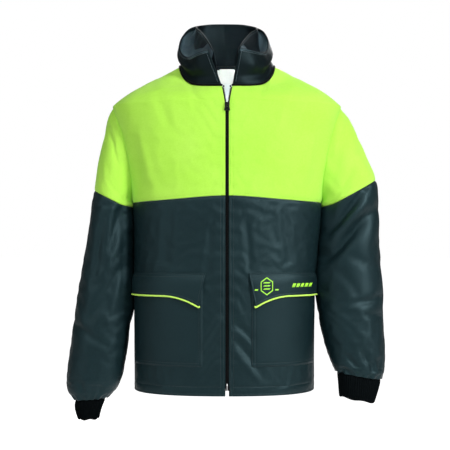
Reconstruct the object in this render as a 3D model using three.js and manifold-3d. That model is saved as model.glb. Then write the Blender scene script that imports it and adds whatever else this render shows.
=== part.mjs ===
// High-visibility work jacket with a stand-up collar, full-length zip, two flapped patch
// pockets and rib-knit cuffs, standing in the shape it takes on a wearer.
// Millimetres. +Z up, front towards -Y, +X towards the wearer's left.
// Origin: middle of the neck opening, level with the side neck points.
// "right" and "left" are the wearer's: right is -X, left is +X.
import * as THREE from 'three';
import { mergeVertices } from 'three/addons/utils/BufferGeometryUtils.js';
import Module from 'manifold-3d';

const wasm = await Module();
wasm.setup();

// ---------------------------------------------------------------- driving dimensions
const HEM_Z = -705;
const SHELL = 3;                 // outer cloth with its interlining
const LINING = 2;
const LAYER_GAP = 0.5;           // between two small cloth layers that lie on each other
const LINING_GAP = 4.6;          // the lining hangs loose behind the outer cloth
const SEAM_GAP = 0.5;            // between two panels that are sewn edge to edge

const NECK = { halfWidth: 103, front: 98, back: 80, frontZ: -52, sideZ: 0, backZ: 8, roundness: 6 };
const COLLAR_TOP = { halfWidth: 101, front: 108, back: 84, frontZ: 27, sideZ: 74, backZ: 107 };
const COLLAR_OPENING = { base: 11, top: 34 };

const SHOULDER_TIP = { x: 250, z: -90 };
const ARMPIT = { x: 208, z: -305 };
const ARMHOLE_Y = 5;
const ARMHOLE_HALF_DEPTH = 60;
const ROOT_GAP = 3.6;            // between the armhole edges of the body and the sleeve

const FRONT_TOP_Z = -80;         // below this the centre-front edge is straight
const FRONT_TOP_Y = -117;
const FRONT_HEM_Y = -144;
const BACK_YOKE_Z = -292;
const FRONT_YOKE_Z = -286;
const YOKE_AT_ARMHOLE_Z = -300;

const SIDE_SEAM_Y = -25;
const SIDE_SEAM_GAP = 2.5;       // room for the front panel to turn on its seam
const SECTION_POWER = 2.5;       // roundness of the horizontal sections

const ZIP_EDGE = 5.5;            // half width between the two cloth edges at the zip
const VEE_Z = -97;               // the zip is open above this height
const TAPE = { from: 1.8, to: 13, inset: SHELL + 0.8, thickness: 0.9, topLevel: 0.1, bottom: -690 };
const TEETH = { from: 0.35, to: 3.0, inset: 0.6, thickness: 2.4, topLevel: 0.25, bottom: -682 };

const POCKET = { innerX: 50, top: -468, bottom: -645, outerY: -42, lift: 1.2, thickness: 1.8 };
const FLAP = { topX: 45, bottomX: 57, top: -448, bottom: -496, drop: 23, outerY: -48, lift: 5.6, thickness: 2.2 };
const TOUCH_TAPE = { from: 78, to: 118, top: -474, bottom: -490, thickness: 0.8 };
const PIPING_RADIUS = 1.6;

// Half widths, back depths and section heights of the body, [height, value].
const HALF_WIDTHS = [[-705, 203], [-500, 205], [-300, 208], [-200, 228], [-150, 238], [-90, 250]];
const BACK_DEPTHS = [[-705, 120], [-500, 122], [-300, 120], [-200, 114], [-90, 98]];
const LEFT_DRAPE = 0.06;         // the left side seam hangs this much closer in below the arm
const DRAPE_HEIGHT = 190;        // over which that comes in

// Sleeve rings from armhole to wrist, each [outer x, outer z, inner x, inner z, middle y, half depth].
const SLEEVE_SEAM_KEY = 4;
const SLEEVE_RINGS = {
  right: [
    [250, -90, 208, -305, 5, 60],
    [262, -114, 210.5, -306, 4, 62],
    [272, -160, 211.5, -307.5, 2, 64],
    [283, -212, 212.5, -309, 0, 65],
    [292, -273, 213.5, -311, -3, 65],
    [301, -335, 213.5, -352, -6, 64],
    [312, -412, 212.5, -425, -9, 62],
    [325, -491, 211.5, -500, -13, 60],
    [334, -557, 213, -563, -17, 58],
    [343, -623, 220, -626, -22, 55],
    [348, -676, 230, -676, -26, 50],
    [346, -706, 243, -703, -28, 43],
    [332, -727, 263, -723, -30, 32],
  ],
  left: [
    [250, -90, 208, -305, 5, 60],
    [269, -116, 211, -306, 4, 62],
    [292, -163, 212.5, -307.5, 2, 65],
    [313, -212, 213.5, -309, 0, 67],
    [327, -250, 214, -311, -3, 68],
    [332, -320, 209, -352, -7, 68],
    [334, -400, 202, -425, -12, 67],
    [341, -491, 197, -500, -19, 66],
    [339, -555, 202, -552, -27, 64],
    [342, -607, 213, -602, -35, 59],
    [341, -645, 224, -637, -43, 53],
    [338, -667, 231, -654, -48, 46],
    [333, -680, 236, -663, -52, 39],
  ],
};
// Cuff rings in the same form, top and bottom.
const CUFF_RINGS = {
  right: [[330, -728, 266, -724, -30, 30], [330, -745, 272, -742, -31, 27], [323, -770, 279, -768, -31, 21]],
  left: [[331, -681.5, 238, -664.5, -52, 37], [325, -704, 241, -691, -56, 34], [319, -729, 244, -716, -60, 30]],
};
const CUFF_THICKNESS = 3.5;

const COLOURS = {
  lime: 0xbbf35c,
  dark: 0x2a3d41,
  collar: 0x141e1f,
  lining: 0xb9c4c6,
  rib: 0x0c1315,
  zip: 0x0a0c0d,
  metal: 0x2b2d2f,
  label: 0xacbbbe,
  piping: 0xd6ff89,
  touch: 0x15191b,
};

const SIDES = [['right', -1], ['left', 1]];
const group = new THREE.Group();

// ---------------------------------------------------------------- small maths
const clamp01 = (value) => Math.min(1, Math.max(0, value));
const mix = (a, b, share) => a + (b - a) * share;
const radians = (degrees) => (degrees * Math.PI) / 180;

function smoothStep(value) {
  const t = clamp01(value);
  return t * t * (3 - 2 * t);
}

// Smooth curve through [position, value] stops, with finite-difference slopes.
function along(stops, at) {
  const last = stops.length - 1;
  const position = Math.min(Math.max(at, stops[0][0]), stops[last][0]);
  let i = 0;
  while (i < last - 1 && position > stops[i + 1][0]) i += 1;
  const slope = (k) => {
    const before = stops[Math.max(k - 1, 0)];
    const after = stops[Math.min(k + 1, last)];
    return (after[1] - before[1]) / (after[0] - before[0]);
  };
  const width = stops[i + 1][0] - stops[i][0];
  const t = (position - stops[i][0]) / width;
  const rise = t * t * (3 - 2 * t);
  return mix(stops[i][1], stops[i + 1][1], rise)
    + width * (t * (1 - t) * (1 - t) * slope(i) - t * t * (1 - t) * slope(i + 1));
}

// ---------------------------------------------------------------- body surface
const bodyCentreFront = (z) => mix(FRONT_TOP_Y, FRONT_HEM_Y, (FRONT_TOP_Z - z) / (FRONT_TOP_Z - HEM_Z));

function halfWidth(z, side) {
  const drape = side > 0 ? LEFT_DRAPE * smoothStep((ARMPIT.z - 5 - z) / DRAPE_HEIGHT) : 0;
  return along(HALF_WIDTHS, z) * (1 - drape);
}

// Distance from the vertical axis to a rounded section, in the direction of an angle
// that is 0 at the front and a quarter turn at the side.
function reach(angle, width, front, back) {
  const depth = Math.cos(angle) > 0 ? front : back;
  const across = (Math.abs(Math.sin(angle)) / width) ** SECTION_POWER;
  const fore = (Math.abs(Math.cos(angle)) / depth) ** SECTION_POWER;
  return (across + fore) ** (-1 / SECTION_POWER);
}

function sectionPoint(angle, z) {
  const side = Math.sin(angle) >= 0 ? 1 : -1;
  const r = reach(angle, halfWidth(z, side), -bodyCentreFront(z), along(BACK_DEPTHS, z));
  return new THREE.Vector3(r * Math.sin(angle), -r * Math.cos(angle), z);
}

const frontShare = (angle, power) => Math.max(0, Math.cos(angle)) ** power;
const backShare = (angle, power) => Math.max(0, -Math.cos(angle)) ** power;

const shoulderRingZ = (angle) => SHOULDER_TIP.z
  + (FRONT_TOP_Z - SHOULDER_TIP.z) * frontShare(angle, 1.5) - 5 * backShare(angle, 1.5);

// The neck seam runs almost level across the front and climbs steeply at the sides.
const neckDrop = (angle) => (Math.cos(angle) > 0 ? 1 - Math.abs(Math.sin(angle)) ** NECK.roundness : 0);

function neckPoint(angle) {
  const r = reach(angle, NECK.halfWidth, NECK.front, NECK.back);
  const z = NECK.sideZ + (NECK.frontZ - NECK.sideZ) * neckDrop(angle)
    + (NECK.backZ - NECK.sideZ) * backShare(angle, 1.5);
  return new THREE.Vector3(r * Math.sin(angle), -r * Math.cos(angle), z);
}

// Level 0 is the neck seam, 1 the ring through the shoulder tips and 2 the hem.
function bodyPoint(angle, level) {
  const ringZ = shoulderRingZ(angle);
  if (level >= 1) return sectionPoint(angle, mix(ringZ, HEM_Z, level - 1));
  const neck = neckPoint(angle);
  const ring = sectionPoint(angle, ringZ);
  const span = ring.clone().sub(neck);
  const length = span.length();
  const upright = Math.abs(Math.cos(angle)) ** 0.7;
  const leave = span.clone().add(new THREE.Vector3(0, 0, 12));
  const below = sectionPoint(angle, ringZ - 10).sub(ring).normalize().multiplyScalar(length);
  const arrive = span.clone().lerp(below, upright);
  const t = level;
  return neck.multiplyScalar((1 + 2 * t) * (1 - t) * (1 - t))
    .addScaledVector(ring, t * t * (3 - 2 * t))
    .addScaledVector(leave, t * (1 - t) * (1 - t))
    .addScaledVector(arrive, -t * t * (1 - t));
}

const levelAt = (angle, z) => 1 + (z - shoulderRingZ(angle)) / (HEM_Z - shoulderRingZ(angle));

// A surface point moved outwards by an offset; a negative offset goes inside.
function offsetPoint(surface, u, v, offset) {
  const step = 1e-3;
  const point = surface(u, v);
  const du = surface(u + step, v).sub(surface(u - step, v));
  const dv = surface(u, v + step).sub(surface(u, Math.max(v - step, 0)));
  const normal = du.cross(dv).normalize();
  if (normal.x * point.x + normal.y * point.y + normal.z * 40 < 0) normal.negate();
  return point.addScaledVector(normal, offset);
}

const bodyOffset = (angle, level, offset) => offsetPoint(bodyPoint, angle, level, offset);

// Angle of the point at depth y on the side of the section at height z.
function angleAtDepth(y, z, side) {
  const depth = y < 0 ? -bodyCentreFront(z) : along(BACK_DEPTHS, z);
  const x = halfWidth(z, side) * (1 - (Math.abs(y) / depth) ** SECTION_POWER) ** (1 / SECTION_POWER);
  return Math.atan2(x, -y);
}

// Angle of the point at distance x from the middle of the front.
function angleAtWidth(x, z, side) {
  const share = 1 - (x / halfWidth(z, side)) ** SECTION_POWER;
  return Math.atan2(x, -bodyCentreFront(z) * share ** (1 / SECTION_POWER));
}

// The armhole is an ellipse seen from the side; way is -1 for its front edge, 1 for its back.
function armholeY(z, way) {
  const middle = (SHOULDER_TIP.z + ARMPIT.z) / 2;
  const half = (SHOULDER_TIP.z - ARMPIT.z) / 2;
  return ARMHOLE_Y + way * ARMHOLE_HALF_DEPTH * Math.sqrt(Math.max(0, 1 - ((z - middle) / half) ** 2));
}

const shoulderAngle = Math.atan2(SHOULDER_TIP.x, -ARMHOLE_Y);
const zipSpread = (z) => (COLLAR_OPENING.base - ZIP_EDGE) * clamp01((z - VEE_Z) / (NECK.frontZ - VEE_Z));

// ---------------------------------------------------------------- closed solids
function finish(positions, triangles) {
  const geometry = new THREE.BufferGeometry();
  geometry.setAttribute('position', new THREE.Float32BufferAttribute(positions.flatMap((p) => [p.x, p.y, p.z]), 3));
  let volume = 0;
  for (const [a, b, c] of triangles) {
    volume += positions[a].dot(positions[b].clone().cross(positions[c]));
  }
  const faces = volume < 0 ? triangles.map(([a, b, c]) => [a, c, b]) : triangles;
  geometry.setIndex(faces.flat());
  geometry.computeVertexNormals();
  return geometry;
}

// A sheet with thickness: point(column, row, layer) gives the outer (0) and inner (1) layers.
function sheet(columns, rows, point) {
  const positions = [];
  const triangles = [];
  const index = (i, j, layer) => layer * (columns + 1) * (rows + 1) + j * (columns + 1) + i;
  const quad = (a, b, c, d) => triangles.push([a, b, c], [a, c, d]);
  for (let layer = 0; layer < 2; layer += 1) {
    for (let j = 0; j <= rows; j += 1) {
      for (let i = 0; i <= columns; i += 1) positions.push(point(i / columns, j / rows, layer));
    }
  }
  for (let j = 0; j < rows; j += 1) {
    for (let i = 0; i < columns; i += 1) {
      quad(index(i, j, 0), index(i + 1, j, 0), index(i + 1, j + 1, 0), index(i, j + 1, 0));
      quad(index(i, j, 1), index(i, j + 1, 1), index(i + 1, j + 1, 1), index(i + 1, j, 1));
    }
  }
  for (let i = 0; i < columns; i += 1) {
    quad(index(i, 0, 0), index(i, 0, 1), index(i + 1, 0, 1), index(i + 1, 0, 0));
    quad(index(i, rows, 0), index(i + 1, rows, 0), index(i + 1, rows, 1), index(i, rows, 1));
  }
  for (let j = 0; j < rows; j += 1) {
    quad(index(0, j, 0), index(0, j + 1, 0), index(0, j + 1, 1), index(0, j, 1));
    quad(index(columns, j, 0), index(columns, j, 1), index(columns, j + 1, 1), index(columns, j + 1, 0));
  }
  return finish(positions, triangles);
}

// A tube wall: point(turn, row, layer) goes once round for turn 0 to 1.
function tubeWall(segments, rows, point) {
  const positions = [];
  const triangles = [];
  const index = (i, j, layer) => layer * segments * (rows + 1) + j * segments + (i % segments);
  const quad = (a, b, c, d) => triangles.push([a, b, c], [a, c, d]);
  for (let layer = 0; layer < 2; layer += 1) {
    for (let j = 0; j <= rows; j += 1) {
      for (let i = 0; i < segments; i += 1) positions.push(point(i / segments, j / rows, layer));
    }
  }
  for (let i = 0; i < segments; i += 1) {
    for (let j = 0; j < rows; j += 1) {
      quad(index(i, j, 0), index(i + 1, j, 0), index(i + 1, j + 1, 0), index(i, j + 1, 0));
      quad(index(i, j, 1), index(i, j + 1, 1), index(i + 1, j + 1, 1), index(i + 1, j, 1));
    }
    quad(index(i, 0, 0), index(i, 0, 1), index(i + 1, 0, 1), index(i + 1, 0, 0));
    quad(index(i, rows, 0), index(i + 1, rows, 0), index(i + 1, rows, 1), index(i, rows, 1));
  }
  return finish(positions, triangles);
}

function solidOf(geometry) {
  const bare = geometry.clone();
  bare.deleteAttribute('normal');
  bare.deleteAttribute('uv');
  const merged = mergeVertices(bare, 1e-4);
  const vertProperties = Float32Array.from(merged.attributes.position.array);
  const triVerts = Uint32Array.from(merged.index.array);
  return new wasm.Manifold(new wasm.Mesh({ numProp: 3, vertProperties, triVerts }));
}

function geometryOf(solid) {
  const { vertProperties, triVerts } = solid.getMesh();
  const geometry = new THREE.BufferGeometry();
  geometry.setAttribute('position', new THREE.Float32BufferAttribute(vertProperties, 3));
  geometry.setIndex(Array.from(triVerts));
  geometry.computeVertexNormals();
  return geometry;
}

function add(name, geometry, colour, roughness = 0.85, metalness = 0, parent = group) {
  const material = new THREE.MeshStandardMaterial({ color: colour, roughness, metalness });
  const mesh = new THREE.Mesh(geometry, material);
  mesh.name = name;
  parent.add(mesh);
  return mesh;
}

// ---------------------------------------------------------------- yokes and panels
const yokeSeamZ = (angle) => mix(FRONT_YOKE_Z, YOKE_AT_ARMHOLE_Z, smoothStep(angle / radians(86)));
const heightAt = (angle, level) => mix(shoulderRingZ(angle), HEM_Z, level - 1);

// Rows of a yoke: the first share of them covers the shoulder, the rest the chest.
const SHOULDER_ROWS = 0.4;

function yokeLevel(angle, j, seamZ, start = 0.012) {
  if (j <= SHOULDER_ROWS) return mix(start, 1, j / SHOULDER_ROWS);
  return mix(1, levelAt(angle, seamZ), (j - SHOULDER_ROWS) / (1 - SHOULDER_ROWS));
}

function frontYoke(side, outer, thickness, edgeX, trim) {
  return sheet(8, 10, (i, j, layer) => {
    const armLevel = yokeLevel(shoulderAngle, j, YOKE_AT_ARMHOLE_Z + SEAM_GAP + trim, 0.012 + trim * 0.004);
    const armZ = heightAt(shoulderAngle, armLevel);
    const outerAngle = armLevel <= 1
      ? shoulderAngle - 0.004 - trim * 0.004
      : angleAtDepth(armholeY(armZ, -1) - trim, armZ, side);
    const frontLevel = yokeLevel(0, j, FRONT_YOKE_Z + SEAM_GAP + trim, 0.012 + trim * 0.004);
    const frontZ = bodyPoint(0, frontLevel).z;
    const innerAngle = Math.atan2(edgeX + zipSpread(frontZ), -bodyPoint(0, frontLevel).y);
    const angle = mix(innerAngle, outerAngle, i);
    const level = yokeLevel(angle, j, yokeSeamZ(angle) + SEAM_GAP + trim, 0.012 + trim * 0.004);
    return bodyOffset(side * angle, level, outer - layer * thickness);
  });
}

const backSeamRise = (angle) => smoothStep((angle - radians(97)) / radians(13));

function backYoke() {
  return sheet(16, 10, (i, j, layer) => {
    const armLevel = yokeLevel(shoulderAngle, j, YOKE_AT_ARMHOLE_Z + SEAM_GAP);
    const armZ = heightAt(shoulderAngle, armLevel);
    const edge = (side) => (armLevel <= 1
      ? shoulderAngle + 0.004
      : angleAtDepth(armholeY(armZ, 1), armZ, side));
    const angle = mix(edge(1), 2 * Math.PI - edge(-1), i);
    const fromFront = Math.min(angle, 2 * Math.PI - angle);
    const seam = mix(YOKE_AT_ARMHOLE_Z, BACK_YOKE_Z, backSeamRise(fromFront)) + SEAM_GAP;
    return bodyOffset(angle, yokeLevel(fromFront, j, seam), -layer * SHELL);
  });
}

function backPanel() {
  return sheet(22, 7, (i, j, layer) => {
    const sideZ = mix(ARMPIT.z - 1, HEM_Z, j);
    const edge = (side) => angleAtDepth(SIDE_SEAM_Y + SIDE_SEAM_GAP, sideZ, side);
    const angle = mix(edge(1), 2 * Math.PI - edge(-1), i);
    const fromFront = Math.min(angle, 2 * Math.PI - angle);
    const top = mix(ARMPIT.z - 1, BACK_YOKE_Z - SEAM_GAP, backSeamRise(fromFront));
    return bodyOffset(angle, levelAt(angle, mix(top, HEM_Z, j)), -layer * SHELL);
  });
}

function frontPanel(side, outer, thickness, edgeX, trim, hem) {
  return sheet(12, 7, (i, j, layer) => {
    const sideZ = mix(YOKE_AT_ARMHOLE_Z - SEAM_GAP - trim, hem, j);
    const outerAngle = angleAtDepth(SIDE_SEAM_Y - trim, sideZ, side);
    const angle = mix(angleAtWidth(edgeX, sideZ, side), outerAngle, i);
    const top = yokeSeamZ(angle) - SEAM_GAP - trim;
    return bodyOffset(side * angle, levelAt(angle, mix(top, hem, j)), outer - layer * thickness);
  });
}

function backLining() {
  const inset = -(SHELL + LINING_GAP);
  const share = 10 / 15;
  return sheet(16, 15, (i, j, layer) => {
    const upper = j <= share;
    const rowLevel = upper
      ? yokeLevel(shoulderAngle, j / share, BACK_YOKE_Z, 0.05)
      : levelAt(shoulderAngle, mix(BACK_YOKE_Z, HEM_Z + 18, (j - share) / (1 - share)));
    const rowZ = heightAt(shoulderAngle, rowLevel);
    const edge = (side) => {
      if (rowLevel <= 1) return shoulderAngle + 0.02;
      if (upper) return angleAtDepth(armholeY(rowZ, 1) + 4, rowZ, side);
      return angleAtDepth(SIDE_SEAM_Y + SIDE_SEAM_GAP + 6, rowZ, side);
    };
    const angle = mix(edge(1), 2 * Math.PI - edge(-1), i);
    return bodyOffset(angle, rowLevel, inset - layer * LINING);
  });
}

add('back_yoke', backYoke(), COLOURS.lime);
add('back_panel', backPanel(), COLOURS.dark);
add('back_lining', backLining(), COLOURS.lining);
for (const [name, side] of SIDES) {
  const liningOuter = -(SHELL + LINING_GAP);
  add(`front_yoke_${name}`, frontYoke(side, 0, SHELL, ZIP_EDGE, 0), COLOURS.lime);
  add(`chest_lining_${name}`, frontYoke(side, liningOuter, LINING, 16, 4), COLOURS.lining);
  add(`front_panel_${name}`, frontPanel(side, 0, SHELL, ZIP_EDGE, 0, HEM_Z), COLOURS.dark);
  add(`front_lining_${name}`, frontPanel(side, liningOuter, LINING, 16, 4, HEM_Z + 18), COLOURS.lining);
}

// ---------------------------------------------------------------- collar
// Height 0 is the neck seam and 1 the top edge, which rolls a little outwards.
function collarPoint(angle, height) {
  const base = neckPoint(angle);
  const r = reach(angle, COLLAR_TOP.halfWidth, COLLAR_TOP.front, COLLAR_TOP.back);
  const z = COLLAR_TOP.sideZ + (COLLAR_TOP.frontZ - COLLAR_TOP.sideZ) * frontShare(angle, 1.4)
    + (COLLAR_TOP.backZ - COLLAR_TOP.sideZ) * backShare(angle, 1.2);
  const top = new THREE.Vector3(r * Math.sin(angle), -r * Math.cos(angle), z);
  const point = base.clone().lerp(top, height);
  const waist = -6 * Math.sin(Math.PI * height);
  const radial = new THREE.Vector3(point.x, point.y, 0).normalize();
  return point.addScaledVector(radial, waist + 5 * height ** 3);
}

function collarSheet(from, to, margin, outer, thickness, columns, rows) {
  return sheet(columns, rows, (i, j, layer) => {
    const height = mix(from, to, j);
    const x = mix(COLLAR_OPENING.base, COLLAR_OPENING.top, height) + margin;
    const start = Math.atan2(x, -collarPoint(0, height).y);
    const angle = mix(start, 2 * Math.PI - start, i);
    return offsetPoint(collarPoint, angle, height, outer - layer * thickness);
  });
}

add('collar', collarSheet(0.01, 1, 0, 0, 3.5, 32, 4), COLOURS.collar);
add('neck_binding', collarSheet(0.01, 0.14, 14, -3.5 - 3 * LAYER_GAP, 1, 32, 1), COLOURS.zip);

function neckLabel() {
  const half = 0.28;
  return sheet(4, 3, (i, j, layer) => {
    const angle = Math.PI + mix(-half, half, i);
    return bodyOffset(angle, mix(0.1, 0.42, j), -(SHELL + LINING_GAP + LINING + 2) - layer * 0.8);
  });
}
add('neck_label', neckLabel(), COLOURS.label);

// The loop is a bar on two legs: a peg goes under the bar.
const LOOP = { halfWidth: 30, leg: 5, barTop: 12, barBottom: 9, foot: -2, depth: 6, y: 62 };
function hangerLoop() {
  const outline = new THREE.Shape();
  outline.moveTo(-LOOP.halfWidth, LOOP.foot);
  outline.lineTo(-LOOP.halfWidth, LOOP.barTop);
  outline.lineTo(LOOP.halfWidth, LOOP.barTop);
  outline.lineTo(LOOP.halfWidth, LOOP.foot);
  outline.lineTo(LOOP.halfWidth - LOOP.leg, LOOP.foot);
  outline.lineTo(LOOP.halfWidth - LOOP.leg, LOOP.barBottom);
  outline.lineTo(-LOOP.halfWidth + LOOP.leg, LOOP.barBottom);
  outline.lineTo(-LOOP.halfWidth + LOOP.leg, LOOP.foot);
  outline.closePath();
  return new THREE.ExtrudeGeometry(outline, { depth: LOOP.depth, bevelEnabled: false });
}
const loop = add('hanger_loop', hangerLoop(), COLOURS.zip);
loop.rotation.x = Math.PI / 2;
loop.position.y = LOOP.y + LOOP.depth;

// ---------------------------------------------------------------- pockets and flaps
// Flap bottom edge: level at the side, dropping in a curve to its inner corner.
const flapBottom = (x) => FLAP.bottom - FLAP.drop * clamp01((130 - x) / (130 - FLAP.bottomX)) ** 2;

function pocket(side) {
  return sheet(10, 4, (i, j, layer) => {
    const z = mix(POCKET.top, POCKET.bottom, j);
    const angle = mix(angleAtWidth(POCKET.innerX, z, side), angleAtDepth(POCKET.outerY, z, side), i);
    return bodyOffset(side * angle, levelAt(angle, z), POCKET.lift + (1 - layer) * POCKET.thickness);
  });
}

function flapPoint(side, i, j, offset) {
  const sideAngle = angleAtDepth(FLAP.outerY, FLAP.top, side);
  const innerX = mix(FLAP.topX, FLAP.bottomX, j);
  const angle = mix(angleAtWidth(innerX, FLAP.top, side), sideAngle, i);
  const x = sectionPoint(angle, FLAP.top).x;
  const z = mix(FLAP.top, flapBottom(x), j);
  return bodyOffset(side * angle, levelAt(angle, z), offset);
}

function flapPiping(side) {
  const points = [];
  for (let k = 0; k <= 14; k += 1) {
    const point = flapPoint(side, mix(0.01, 0.99, k / 14), 1, FLAP.lift + FLAP.thickness / 2);
    point.z -= PIPING_RADIUS + 0.4;
    points.push(point);
  }
  const section = new THREE.Shape();
  section.absarc(0, 0, PIPING_RADIUS, 0, 2 * Math.PI);
  const extrudePath = new THREE.CatmullRomCurve3(points);
  return new THREE.ExtrudeGeometry(section, { steps: 14, curveSegments: 4, extrudePath, bevelEnabled: false });
}

function touchPatch(side, lift) {
  return sheet(3, 1, (i, j, layer) => {
    const z = mix(TOUCH_TAPE.top, TOUCH_TAPE.bottom, j);
    const angle = angleAtWidth(mix(TOUCH_TAPE.from, TOUCH_TAPE.to, i), z, side);
    return bodyOffset(side * angle, levelAt(angle, z), lift + (1 - layer) * TOUCH_TAPE.thickness);
  });
}

for (const [name, side] of SIDES) {
  const loopLift = POCKET.lift + POCKET.thickness + 0.3;
  add(`pocket_${name}`, pocket(side), COLOURS.dark);
  add(`pocket_fastener_${name}`, touchPatch(side, loopLift), COLOURS.touch);
  add(`flap_fastener_${name}`, touchPatch(side, loopLift + TOUCH_TAPE.thickness + 0.3), COLOURS.touch);
  const flap = sheet(10, 4, (i, j, layer) => flapPoint(side, i, j, FLAP.lift + (1 - layer) * FLAP.thickness));
  add(`pocket_flap_${name}`, flap, COLOURS.dark);
  add(`flap_piping_${name}`, flapPiping(side), COLOURS.piping, 0.5);
}

// ---------------------------------------------------------------- zip
// A strip that runs beside the zip from the neck seam to near the hem.
function zipStrip(side, strip) {
  const upperRows = 5 / 14;
  const straightFrom = -120;
  return sheet(1, 14, (i, j, layer) => {
    const lowerShare = (j - upperRows) / (1 - upperRows);
    const level = j <= upperRows
      ? mix(strip.topLevel, levelAt(0, straightFrom), j / upperRows)
      : levelAt(0, mix(straightFrom, strip.bottom, lowerShare));
    const middle = bodyPoint(0, level);
    const angle = Math.atan2(mix(strip.from, strip.to, i) + zipSpread(middle.z), -middle.y);
    return bodyOffset(side * angle, level, -strip.inset - layer * strip.thickness);
  });
}

for (const [name, side] of SIDES) {
  add(`zip_tape_${name}`, zipStrip(side, TAPE), COLOURS.zip);
  add(`zip_teeth_${name}`, zipStrip(side, TEETH), COLOURS.zip, 0.4);
}

// Frame that stands on the straight centre-front edge: local -Y is out of the cloth.
const frontTilt = Math.atan2(FRONT_TOP_Y - FRONT_HEM_Y, FRONT_TOP_Z - HEM_Z);
function frontFrame(z) {
  const frame = new THREE.Group();
  frame.position.set(0, bodyCentreFront(z), z);
  frame.rotation.x = -frontTilt;
  group.add(frame);
  return frame;
}

function block(x0, x1, y0, y1, z0, z1) {
  const geometry = new THREE.BoxGeometry(x1 - x0, y1 - y0, z1 - z0);
  return geometry.translate((x0 + x1) / 2, (y0 + y1) / 2, (z0 + z1) / 2);
}

const SLIDER = { z: -97, halfLength: 8, halfWidth: 5.2, plate: 1.6, lift: 0.4, back: 5.1, bridge: 0.7 };
const CROWN = { halfWidth: 0.9, top: 6, bottom: -3, clear: 3.2, bar: 1 };

function slider() {
  const outline = new THREE.Shape();
  outline.moveTo(-SLIDER.halfWidth, SLIDER.halfLength - 2);
  outline.quadraticCurveTo(-SLIDER.halfWidth, SLIDER.halfLength, -2, SLIDER.halfLength);
  outline.lineTo(2, SLIDER.halfLength);
  outline.quadraticCurveTo(SLIDER.halfWidth, SLIDER.halfLength, SLIDER.halfWidth, SLIDER.halfLength - 2);
  outline.lineTo(SLIDER.halfWidth - 1.4, -SLIDER.halfLength);
  outline.lineTo(1.4 - SLIDER.halfWidth, -SLIDER.halfLength);
  outline.closePath();
  const plate = (y, depth) => new THREE.ExtrudeGeometry(outline, { depth, bevelEnabled: false, curveSegments: 3 })
    .rotateX(Math.PI / 2).translate(0, y + depth, 0);
  const face = -(SLIDER.lift + SLIDER.plate);
  const crownTop = face - CROWN.clear;
  const pieces = [
    plate(face, SLIDER.plate),
    plate(SLIDER.back, 1.1),
    block(-SLIDER.bridge, SLIDER.bridge, face + 0.2, SLIDER.back + 0.5, SLIDER.halfLength - 1.6, SLIDER.halfLength - 0.2),
    block(-CROWN.halfWidth, CROWN.halfWidth, crownTop, face + 0.2, CROWN.top - CROWN.bar, CROWN.top),
    block(-CROWN.halfWidth, CROWN.halfWidth, crownTop, face + 0.2, CROWN.bottom, CROWN.bottom + CROWN.bar),
    block(-CROWN.halfWidth, CROWN.halfWidth, crownTop - CROWN.bar, crownTop + 0.2, CROWN.bottom, CROWN.top),
  ];
  return geometryOf(pieces.map(solidOf).reduce((whole, piece) => whole.add(piece)));
}
const sliderFrame = frontFrame(SLIDER.z);
add('zip_slider', slider(), COLOURS.metal, 0.45, 0.6, sliderFrame);

// The pull hangs plumb from under the crown and widens downwards; its eye goes round the crown's lower leg.
const PULL = {
  topHalf: 3, bottomHalf: 6.6, length: 15.5, thickness: 1.2, corner: 1.5, edge: 1.2,
  eye: { top: 1.2, bottom: 12, topHalf: 1.7, bottomHalf: 3.6 },
};
const pullPivot = new THREE.Vector3(0, -(SLIDER.lift + SLIDER.plate + 1.6), CROWN.top - CROWN.bar - 1.8)
  .applyEuler(sliderFrame.rotation).add(sliderFrame.position);

function pull() {
  const foot = PULL.edge - PULL.length;
  const outline = new THREE.Shape();
  outline.moveTo(-PULL.topHalf, PULL.edge);
  outline.lineTo(PULL.topHalf, PULL.edge);
  outline.lineTo(PULL.bottomHalf, foot + PULL.corner);
  outline.quadraticCurveTo(PULL.bottomHalf, foot, PULL.bottomHalf - PULL.corner, foot);
  outline.lineTo(PULL.corner - PULL.bottomHalf, foot);
  outline.quadraticCurveTo(-PULL.bottomHalf, foot, -PULL.bottomHalf, foot + PULL.corner);
  outline.closePath();
  const eye = new THREE.Path();
  eye.moveTo(-PULL.eye.topHalf, -PULL.eye.top);
  eye.lineTo(-PULL.eye.bottomHalf, -PULL.eye.bottom);
  eye.lineTo(PULL.eye.bottomHalf, -PULL.eye.bottom);
  eye.lineTo(PULL.eye.topHalf, -PULL.eye.top);
  eye.closePath();
  outline.holes.push(eye);
  return new THREE.ExtrudeGeometry(outline, { depth: PULL.thickness, bevelEnabled: false, curveSegments: 4 })
    .rotateX(Math.PI / 2).translate(0, PULL.thickness / 2, 0);
}
add('zip_pull', pull(), COLOURS.metal, 0.45, 0.6).position.copy(pullPivot);

// Bottom end of the zip: a box on the left tape takes the pin of the right one.
const zipEnd = frontFrame(-688);
add('zip_box', block(0.4, 5, -0.4, SHELL, -5, 5), COLOURS.metal, 0.45, 0.6, zipEnd);
add('zip_pin', block(-3.4, -0.4, -0.2, SHELL - 0.2, -5, 5), COLOURS.metal, 0.45, 0.6, zipEnd);
for (const [name, side] of SIDES) {
  const seat = bodyPoint(0, 0.16);
  const stop = block(-1.6, 1.6, -1.3, 1.3, -2, 2);
  const mesh = add(`zip_stop_${name}`, stop, COLOURS.metal, 0.45, 0.6);
  mesh.position.set(side * (TEETH.from + 1.6 + zipSpread(seat.z)), seat.y + 1.7, seat.z + 1);
}

// ---------------------------------------------------------------- sleeves and cuffs
function ringValues(rings, at) {
  return rings[0].map((_, column) => along(rings.map((ring, k) => [k, ring[column]]), at));
}

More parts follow.
